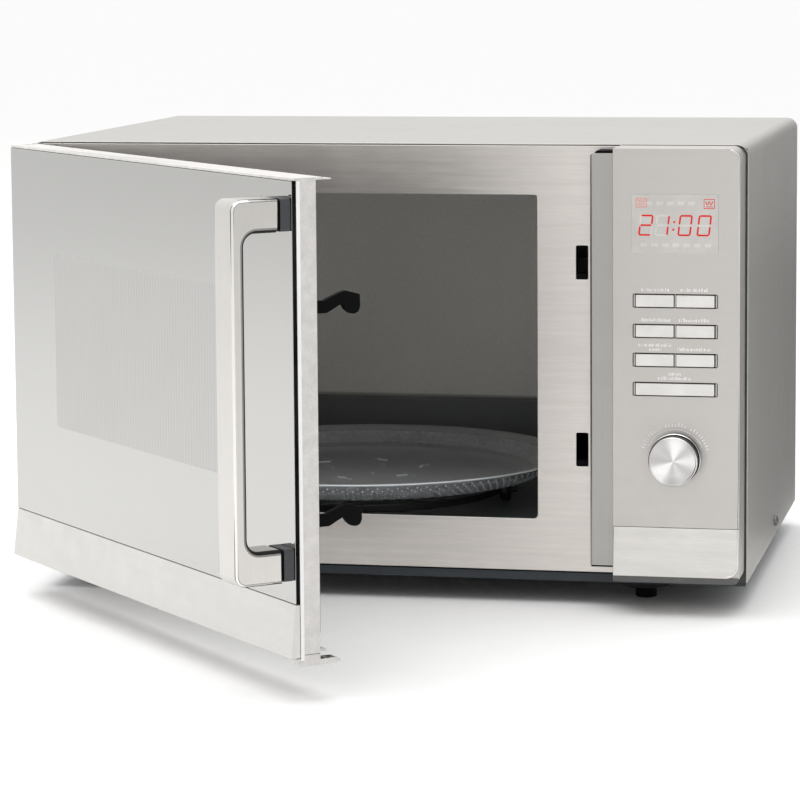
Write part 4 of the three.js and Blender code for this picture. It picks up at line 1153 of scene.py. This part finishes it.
def makeDisplay():
    s = displaySettings
    (x0, x1), (y0, y1), (z0, z1) = spanOf("display_window")
    room = s["lensRoom"]
    lens = prism(roundedOutline(x0 - room, x1 + room, z0 - room, z1 + room, 0.1, 2), y0, y1, "y")
    addPiece("display_lens_pane", lens, "cabinet", displayLens, ["display_window"])
    ghosts = []
    for left in s["places"]:
        ghosts += digitShapes("8", left, s, y0 + 0.05)
    for z, count, shift in s["marks"]:
        for i in range(count):
            u = s["markLeft"] + i * s["markPitch"] + shift
            ghosts.append(prism(roundedOutline(u, u + 4.6, z, z + 2.6, 0.5, 3), y0 - 0.04, y0 + 0.02, "y"))
    addPiece("display_unlit_segments", together(*ghosts), "cabinet", ghostGrey)
    shapes = []
    for text, left in zip(s["text"], s["places"]):
        shapes += digitShapes(text, left, s, y0 + 0.02)
    for dot in s["dots"]:
        u = s["colon"] + s["lean"] * dot * s["height"]
        z = s["bottom"] + dot * s["height"]
        outline = roundedOutline(u - .7, u + .7, z - .7, z + .7, .3, 3)
        shapes.append(prism(outline, y0 - s["thick"], y0 + 0.02, "y"))
    addPiece("display_digits", together(*shapes), "cabinet", digitRed)
    low, high = y0 - 0.1, y0 + 0.02

    def frameLine(u0, u1, v0, v1):
        outline = roundedOutline(u0, u1, v0, v1, 0.6, 3)
        inner = roundedOutline(u0 + .45, u1 - .45, v0 + .45, v1 - .45, 0.3, 3)
        return carved(prism(outline, low, high, "y"), prism(inner, y0 - 1, y0 + 1, "y"))

    def waveLine(left, pitch, height, rise, shift, width):
        points = [(left + t * pitch, height + rise * math.sin(t * 1.25 + shift)) for t in range(11)]
        return ribbon(points, width, low, high)

    left = [frameLine(*s["leftSymbol"])]
    left += [waveLine(187.0, 0.49, 269.5 + row * 2.2, 0.6, 0, 0.42) for row in range(2)]
    addPiece("display_left_symbol", together(*left), "cabinet", iconRed)
    right = [frameLine(*s["rightSymbol"]), waveLine(234.0, 0.52, 270.6, 1.3, 2, 0.55),
             block((234.2, 239), (low, high), (267.9, 268.4))]
    addPiece("display_right_symbol", together(*right), "cabinet", digitRed)


printSettings = {"dash": (0.35, 0.5, 0.9, 1.3), "rise": (1.5, 1.9, 1.9, 2.5), "space": (0.3, 0.3, 0.9),
                 "sides": (0.27, 0.73), "arc": (20.6, 25, 155, 36), "tickFrom": 22.6,
                 "tickLong": (1.7, 2.3, 2.8),
                 "ticks": 27, "tickStart": 18, "tickPitch": 5.5, "leftOut": (9, 17)}


def makePrint():
    # rows of short dashes stand where the labels are, and ticks run round the dial
    s = printSettings
    front = spanOf("control_panel_housing")[1][0]
    low, high = front - 0.05, front + 0.02
    marks = []

    def dashes(centre, z, width):
        x = centre - width / 2
        while x < centre + width / 2 - 0.8:
            long = random.choice(s["dash"])
            rise = random.choice(s["rise"])
            marks.append(block((x, x + long), (low, high), (z, z + rise)))
            x += long + random.choice(s["space"])

    for index, (x0, x1, _, top) in enumerate(keyRecesses()):
        if index == 3:
            dashes((x0 + x1) / 2, top + 1.6, 24)
            dashes((x0 + x1) / 2, top + 4.8, 9)
            continue
        for side in s["sides"]:
            # the left label of the third row has two lines
            raised = index == 2 and side < 0.5
            dashes(x0 + (x1 - x0) * side, top + (4.4 if raised else 1.7), 20 + 2 * index)
        if index == 2:
            dashes(x0 + (x1 - x0) * s["sides"][0], top + 1.6, 9)
    u, v = middleOf("dial_knob", (0, 2))
    marks.append(ribbon(arcPoints(u, v, *s["arc"]), 0.6, low, high))
    for step in range(s["ticks"]):
        if step in s["leftOut"]:
            continue
        angle = math.radians(s["tickStart"] + step * s["tickPitch"])
        inner = s["tickFrom"]
        outer = inner + random.choice(s["tickLong"])
        a, b = math.cos(angle), math.sin(angle)
        marks.append(ribbon([(u + inner * a, v + inner * b), (u + outer * a, v + outer * b)], 1.0, low, high))
    addPiece("panel_print", together(*marks), "cabinet", printWhite)


makePanel()
makePanelEdges()
makeKeyTrays()
makeButtons()
makeKnob()
makePanelTrim()
makeChannel()
makeDisplay()
makePrint()
print("control panel made")


# Door.

def makeDoorGlass():
    (x0, x1), (y0, y1), (z0, z1) = spanOf("door_glass")
    (left, right), _, (bottom, top) = spanOf("inner_window")
    low, high = toRow @ Vector((left, 0, bottom)), toRow @ Vector((right, 0, top))
    mirror = makeMirror(((low.x, high.x), (low.z, high.z)))
    glass = addPiece("mirror_door_glass", block((x0, x1), (y0, y1), (z0, z1)), "door",
                     [mirror, glassRim], ["door_glass"], soften=0.35)
    for face in glass.data.polygons:
        if abs(face.normal.y) < 0.7:
            face.material_index = 1


def makeDoorTrim():
    s = trimSettings
    bar = trimBar("door_lower_trim", s["doorSlope"])
    addPiece("door_bottom_trim", bar, "door", doorTrimSteel, ["door_lower_trim"],
             soften=s["doorEdge"])


handleSettings = {"corner": 7, "innerCorner": 8, "thick": 9, "arm": 21, "chamfer": 1.35, "line": 0.3,
                  "lineIn": 0.25, "sunk": 0.15, "innerRound": 3.2, "mountIn": 0.3, "jointIn": 1.2, "joint": 1.5}


def makeHandle():
    s = handleSettings
    (left, right), (front, back), (bottom, top) = spanOf("handle_bar")
    front += s["sunk"]
    corner, inner, thick, arm = s["corner"], s["innerCorner"], s["thick"], s["arm"]
    outline = [(back, bottom), (back, bottom + arm)]
    outline += arcPoints(front + thick + inner, bottom + arm + inner, inner, -90, -180, 10)
    outline += arcPoints(front + thick + inner, top - arm - inner, inner, 180, 90, 10)
    outline += [(back, top - arm), (back, top)]
    outline += arcPoints(front + corner, top - corner, corner, 90, 180, 10)
    outline += arcPoints(front + corner, bottom + corner, corner, 180, 270, 10)
    bar = prism(outline, left, right, "x")

    def innerEdge(edge):
        a, b = [vertex.co for vertex in edge.verts]
        inside = all(v.y > front + thick - 0.1 and bottom + arm - 0.1 < v.z < top - arm + 0.1 for v in (a, b))
        return inside and abs(a.x - b.x) < 0.01

    # the grip's inner edges are rounded over and given painted shade: near-black, and mid-grey where the rounding
    # faces the side
    shaded = [edge for edge in bar.edges if innerEdge(edge)]
    bmesh.ops.bevel(bar, geom=shaded, offset=s["innerRound"], segments=4, profile=0.5, affect="EDGES",
                    material=2)
    # painted shade: the part of the rounding that faces the side takes a mid-grey
    for face in bar.faces:
        if face.material_index == 2 and face.normal.x > math.cos(math.radians(30)):
            face.material_index = 3
    finishes = [handleSatin, handlePolish, handleShade, handleHalfShade]
    addPiece("grab_handle", bar, "door", finishes, ["handle_bar"], soften=s["chamfer"],
             segments=1, chamferSlot=1, angle=40)
    # painted shade: fine dark lines drawn where the polished chamfer meets the satin faces
    chamfer, sunk = s["chamfer"], s["lineIn"]
    lines = []
    for x, inset in ((right - chamfer, 0.0), (right - sunk, chamfer), (left + chamfer, 0.0)):
        y, low, high, curve = front + inset + sunk, bottom + inset + sunk, top - inset - sunk, corner - inset
        path = [(back, high)] + arcPoints(y + curve, high - curve, curve, 90, 180, 10)
        path += arcPoints(y + curve, low + curve, curve, 180, 270, 10) + [(back, low)]
        lines.append(wireShape([(x, u, v) for u, v in path], s["line"]))
    addPiece("grab_handle_painted_shade_lines", together(*lines), "door", blackPlastic)
    for end in ("upper", "lower"):
        (x0, x1), (y0, y1), (z0, z1) = spanOf(end + "_handle_spacer")
        gap, neck, seam = s["mountIn"], s["jointIn"], y0 + s["joint"]
        body = prism(roundedOutline(x0 + gap, x1 - gap, z0 + gap, z1 - gap, 2, 5), seam, y1, "y")
        joint = prism(roundedOutline(x0 + neck, x1 - neck, z0 + neck, z1 - neck, 1.5, 5), y0, seam + 0.1, "y")
        shape = carved(body, joint, operation="UNION")
        mount = addPiece(end + "_handle_mount", shape, "door", [mountGrey, blackPlastic],
                         [end + "_handle_spacer"], soften=0.4)
        for face in mount.data.polygons:
            if (fromRow @ face.center).y < seam + 0.1:
                face.material_index = 1


screenSettings = {"pitch": 3.0, "hole": 1.7, "border": 6, "wall": 1, "sheet": 0.5, "sheetAt": 0.45}


def makeScreen():
    # pressed pan whose middle is a sheet of small holes, so that the oven can be seen but stays shut
    s = screenSettings
    (left, right), (front, back), (bottom, top) = spanOf("choke_panel")
    edge, wall = s["border"], s["wall"]
    pan = carved(block((left, right), (front, back), (bottom, top)),
                 block((left + wall, right - wall), (front + wall, back + 9), (bottom + wall, top - wall)))
    (x0, x1), _, (z0, z1) = spanOf("inner_window")
    x0, x1, z0, z1 = x0 - edge, x1 + edge, z0 - edge, z1 + edge
    pan = carved(pan, block((x0, x1), (front - 2, front + 3), (z0, z1)))
    # shelf that the latch spring stands on
    (springLeft, _), _, (springLow, _) = spanOf("latch_spring")
    seat = block((springLeft - 2, right - 0.4), (front + 0.5, back), (springLow - 4.1, springLow - 0.6))
    pan = carved(pan, seat, operation="UNION")
    addPiece("choke_pan", pan, "door", zincSteel, ["choke_panel"], soften=0.25, segments=2)
    sheet = bmesh.new()
    columns, rows = int((x1 - x0) / s["pitch"]), int((z1 - z0) / s["pitch"])
    du, dv = (x1 - x0) / columns, (z1 - z0) / rows
    y = front + s["sheetAt"]
    grid = [[sheet.verts.new((x0 + i * du, y, z0 + j * dv)) for j in range(rows + 1)]
            for i in range(columns + 1)]
    half = s["hole"] / 2
    square = ((-half, -half), (half, -half), (half, half), (-half, half))
    for i in range(columns):
        for j in range(rows):
            cu, cv = x0 + (i + 0.5) * du, z0 + (j + 0.5) * dv
            outer = [grid[i][j], grid[i + 1][j], grid[i + 1][j + 1], grid[i][j + 1]]
            hole = [sheet.verts.new((cu + a, y, cv + b)) for a, b in square]
            for k in range(4):
                m = (k + 1) % 4
                sheet.faces.new((outer[k], outer[m], hole[m], hole[k]))
    bmesh.ops.solidify(sheet, geom=sheet.faces[:], thickness=s["sheet"])
    bmesh.ops.recalc_face_normals(sheet, faces=sheet.faces)
    addPiece("perforated_screen", sheet, "door", doorPlastic)


detailSettings = {"wall": 3.3, "floor": 3.7, "paintedToeShade": (-16.9, -6.6), "crease": 0.18}


def makeDoorDetails():
    s = detailSettings
    (left, right), (front, back), (bottom, top) = spanOf("door_frame")
    wall, floor = front + s["wall"], bottom + s["floor"]
    strip = block((right - 0.3, right + 0.25), (wall - 0.2, wall + 2.3), (floor + 0.3, top - 1.8))
    addPiece("door_edge_strip", strip, "door", stripWhite, soften=0.15, segments=2)
    # painted shade: a dark plate on the toe's top stands for the shade in its recess
    outline = roundedOutline(right - 8, right - 1.1, *s["paintedToeShade"], 1, 5)
    paintedToeShade = prism(outline, floor - 0.15, floor + 0.12, "z")
    addPiece("door_toe_painted_shade", paintedToeShade, "door", doorPlastic)
    crease = wireShape([(right, wall + 2.6, floor + 3.6), (right, -17.4, floor + 3.6)], s["crease"])
    addPiece("door_side_crease", crease, "door", slatePlastic)


def makeHooks():
    # the CAD hooks with their facets joined and every edge rounded
    shape = bmesh.new()
    shape.from_mesh(frame["nodes"]["latch_hooks"].data)
    bmesh.ops.transform(shape, matrix=fromRow @ doorTurn.inverted(), verts=shape.verts)
    bmesh.ops.remove_doubles(shape, verts=shape.verts, dist=0.01)
    bmesh.ops.dissolve_limit(shape, angle_limit=0.01, verts=shape.verts, edges=shape.edges)
    addPiece("door_latch_hooks", shape, "latch", blackPlastic, ["latch_hooks"], soften=0.7,
             angle=14)


makeDoorGlass()
makeDoorTrim()
makeHandle()
makeScreen()
makeDoorDetails()
makeHooks()
print("door made")


# Turntable.

traySettings = {"steps": 180, "ridge": 0.35, "glass": 4, "flat": 124, "studs": 130, "stud": 0.85,
                "rows": ((136.8, 2.9), (139.9, 4.6), (143.0, 6.4), (146.4, 8.3), (149.6, 10.0), (152.4, 12.4),
                         (137.5, 6.9), (141.5, 9.2), (145.2, 11.5)),
                "domes": ((52, 6, 3.2), (24, 3, 2.2)), "lugs": 6, "lugAt": 46, "lugSize": (9, 1.6, 0.9),
                "lip": (0.2, 1.4)}


def makeTray():
    s = traySettings
    (x0, x1), (y0, y1), (bottom, rim) = spanOf("glass_tray")
    radius = (x1 - x0) / 2
    floor = bottom + s["glass"]
    flat = s["flat"]
    # underside from the middle out, then the rolled rim, then the upper face back in
    profile = [(r, bottom) for r in (0, 30, 60, 90, 126)]
    profile += [(r, bottom + up) for r, up in ((130, 0.4), (134, 1.4), (140, 4.6), (147, 8.6))]
    profile += [(radius - back, rim - down) for back, down in (
        (5, 3.6), (1.6, 2.6), (0.3, 1.6), (0, 0.9), (0.5, 0.15), (1.3, 0), (3, 0.3), (6, 1.2))]
    profile += [(r, floor + up) for r, up in (
        (146.5, 8.2), (145, 7.4), (139, 3.4), (133, 0.9), (128, 0.25), (flat, 0), (flat - 1.5, 0.35),
        (flat - 3, 0), (60, 0), (0, 0))]
    shape = turnedShape(profile, s["steps"])
    for vertex in shape.verts:
        reach = math.hypot(vertex.co.x, vertex.co.y)
        angle = math.atan2(vertex.co.y, vertex.co.x)
        step = round(angle / (2 * math.pi) * s["steps"])
        if 125 < reach < 148 and vertex.co.z < bottom + 9:
            vertex.co.z += s["ridge"] * (step % 2)
    bumps = []
    for ring, count, size in s["domes"]:
        for i in range(count):
            a = 2 * math.pi * (i + 0.5) / count
            curve = ((0, 1.1), (0.5, 0.95), (0.85, 0.5), (1, -0.2), (0, -0.2))
            dome = [(size * out, floor + up) for out, up in curve]
            bumps.append(moved(turnedShape(dome, 16), (ring * math.cos(a), ring * math.sin(a), 0)))
    shape = carved(shape, *bumps, operation="UNION")
    centre = ((x0 + x1) / 2, (y0 + y1) / 2, 0)
    tray = addPiece("embossed_glass_tray", moved(shape, centre), "turntable",
                    [trayGlass, paintedGlintGlass], ["glass_tray"], centre=centre)
    # painted highlight: the top of the rim takes the pale opaque finish so that it shows as a bright line
    outer, inner = s["lip"]
    for face in tray.data.polygons:
        reach = math.hypot(face.center.x, face.center.y) / mm
        if radius - inner < reach < radius - outer and face.normal.z > 0.3:
            face.material_index = 1
    # pressed studs in rows on the slope, and short lugs round the middle, in the pale opaque finish that paints
    # their glints
    studs = bmesh.new()
    for row, (reach, high) in enumerate(s["rows"]):
        for i in range(s["studs"]):
            a = 2 * math.pi * (i + 0.5 * (row % 2)) / s["studs"]
            place = Matrix.Translation((reach * math.cos(a), reach * math.sin(a), bottom + high))
            bmesh.ops.create_icosphere(studs, subdivisions=1, radius=s["stud"], matrix=place)
    for i in range(s["lugs"]):
        a = 2 * math.pi * i / s["lugs"] + 0.4
        place = Matrix.Translation((s["lugAt"] * math.cos(a), s["lugAt"] * math.sin(a), floor + 0.15))
        shaped = place @ Matrix.Rotation(a + 1.2, 4, "Z") @ Matrix.Diagonal((*s["lugSize"], 1))
        bmesh.ops.create_cube(studs, size=1, matrix=shaped)
    addPiece("tray_pressed_studs", moved(studs, centre), "turntable", paintedGlintGlass, centre=centre)


ringSettings = {"reach": 112, "inside": 9, "wide": 4.5, "half": 3, "pin": 2, "pinLong": 14, "wheel": (2.4, 8.7)}


def makeRing():
    s = ringSettings
    middle = middleOf("roller_ring", (2,))[0]
    centre = (*middleOf("glass_tray", (0, 1)), 0)
    radius, half = s["reach"], s["half"]
    inner = radius - s["inside"]
    thirds = [Matrix.Rotation(i * 2 * math.pi / 3, 3, "Z") for i in range(3)]
    profile = roundedOutline(inner, inner + s["wide"], middle - half, middle + half, 1.2, 4)
    ring = turnedShape(profile + [profile[0]], 96)
    pins = []
    for third in thirds:
        pin = disc(s["pin"], s["pinLong"], (radius + 1.5, 0, middle), "x", 16)
        bmesh.ops.rotate(pin, cent=(0, 0, 0), matrix=third, verts=pin.verts)
        pins.append(pin)
    ring = carved(ring, *pins, operation="UNION")
    addPiece("tray_roller_ring", moved(ring, centre), "roller_ring", doorPlastic,
             ["roller_ring"], soften=0.2, segments=2)
    wheel = roundedOutline(*s["wheel"], -half, half, 0.9, 4)
    for i, third in enumerate(thirds):
        body = moved(turnedShape(wheel + [wheel[0]], 40), (radius, 0, middle), "x")
        bmesh.ops.rotate(body, cent=(0, 0, 0), matrix=third, verts=body.verts)
        addPiece(f"roller_wheel_{i + 1}", moved(body, centre), f"roller_{i + 1}", doorPlastic,
                 [f"tray_roller_{i + 1}"])


makeTray()
makeRing()
print("turntable made")


# Nodes kept from the CAD get softened edges, smooth round sides and real finishes.

def makeSmoothing():
    tree = bpy.data.node_groups.new("smoothSides", "GeometryNodeTree")
    tree.interface.new_socket(name="Geometry", in_out="INPUT", socket_type="NodeSocketGeometry")
    tree.interface.new_socket(name="Geometry", in_out="OUTPUT", socket_type="NodeSocketGeometry")
    start, end = tree.nodes.new("NodeGroupInput"), tree.nodes.new("NodeGroupOutput")
    faces = tree.nodes.new("GeometryNodeSetShadeSmooth")
    edges = tree.nodes.new("GeometryNodeSetShadeSmooth")
    edges.domain = "EDGE"
    edges.inputs["Shade Smooth"].default_value = False
    angle = tree.nodes.new("GeometryNodeInputMeshEdgeAngle")
    steep = tree.nodes.new("FunctionNodeCompare")
    steep.data_type = "FLOAT"
    steep.operation = "GREATER_THAN"
    steep.inputs[1].default_value = math.radians(creaseAngle)
    links = tree.links
    links.new(start.outputs[0], faces.inputs["Geometry"])
    links.new(faces.outputs[0], edges.inputs["Geometry"])
    links.new(angle.outputs[0], steep.inputs[0])
    links.new(steep.outputs[0], edges.inputs["Selection"])
    links.new(edges.outputs[0], end.inputs[0])
    return tree


smoothing = makeSmoothing()
# finish and softening of each node, in millimetres
nodeFinishes = {
    "door_frame": (frameSteel, 0.35), "inner_window": (windowGlass, 0.3), "choke_cover": (doorPlastic, 0.5),
    "latch_spring": (zincSteel, 0), "rear_panel": (zincSteel, 0), "base_plate": (basePaint, 0.4),
    "waveguide_cover": (micaSheet, 0.1), "upper_hinge_bracket": (zincSteel, 0.3),
    "lower_hinge_bracket": (zincSteel, 0.3), "display_module": (blackPlastic, 0.3),
    "control_board": (circuitGreen, 0.15), "dial_encoder": (zincSteel, 0.3), "dial_shaft": (zincSteel, 0.2),
    "interlock_holder": (blackPlastic, 0.3), "upper_interlock_switch": (blackPlastic, 0.3),
    "lower_interlock_switch": (blackPlastic, 0.3), "magnetron": (zincSteel, 0.2), "waveguide": (zincSteel, 0.3),
    "high_voltage_transformer": (ironCore, 0.6), "high_voltage_capacitor": (zincSteel, 0.3),
    "fan_shroud": (whitePlastic, 0.4), "fan_motor": (copperWire, 0.4), "fan_blade": (whitePlastic, 0.2),
    "noise_filter_board": (circuitGreen, 0.2), "turntable_motor": (zincSteel, 0.4), "oven_lamp": (lampGlass, 0),
    "cord_gland": (blackPlastic, 0.5), "turntable_coupler": (whitePlastic, 0.4),
}


def finishNode(name, material, soften):
    node = frame["nodes"][name]
    node.data.materials.clear()
    node.data.materials.append(material)
    weld = node.modifiers.new("weld", "WELD")
    weld.merge_threshold = 0.01 * mm
    flatten = node.modifiers.new("flatten", "DECIMATE")
    flatten.decimate_type = "DISSOLVE"
    flatten.angle_limit = math.radians(0.5)
    if soften:
        bevel = node.modifiers.new("soften", "BEVEL")
        bevel.width = soften * mm
        bevel.segments = 2
        bevel.limit_method = "ANGLE"
        bevel.angle_limit = math.radians(32)
    sides = node.modifiers.new("smooth sides", "NODES")
    sides.node_group = smoothing
    flat = node.modifiers.new("flat faces", "WEIGHTED_NORMAL")
    flat.keep_sharp = True
    flat.weight = 90


for name, (material, soften) in nodeFinishes.items():
    finishNode(name, material, soften)
print("carried-over nodes finished")
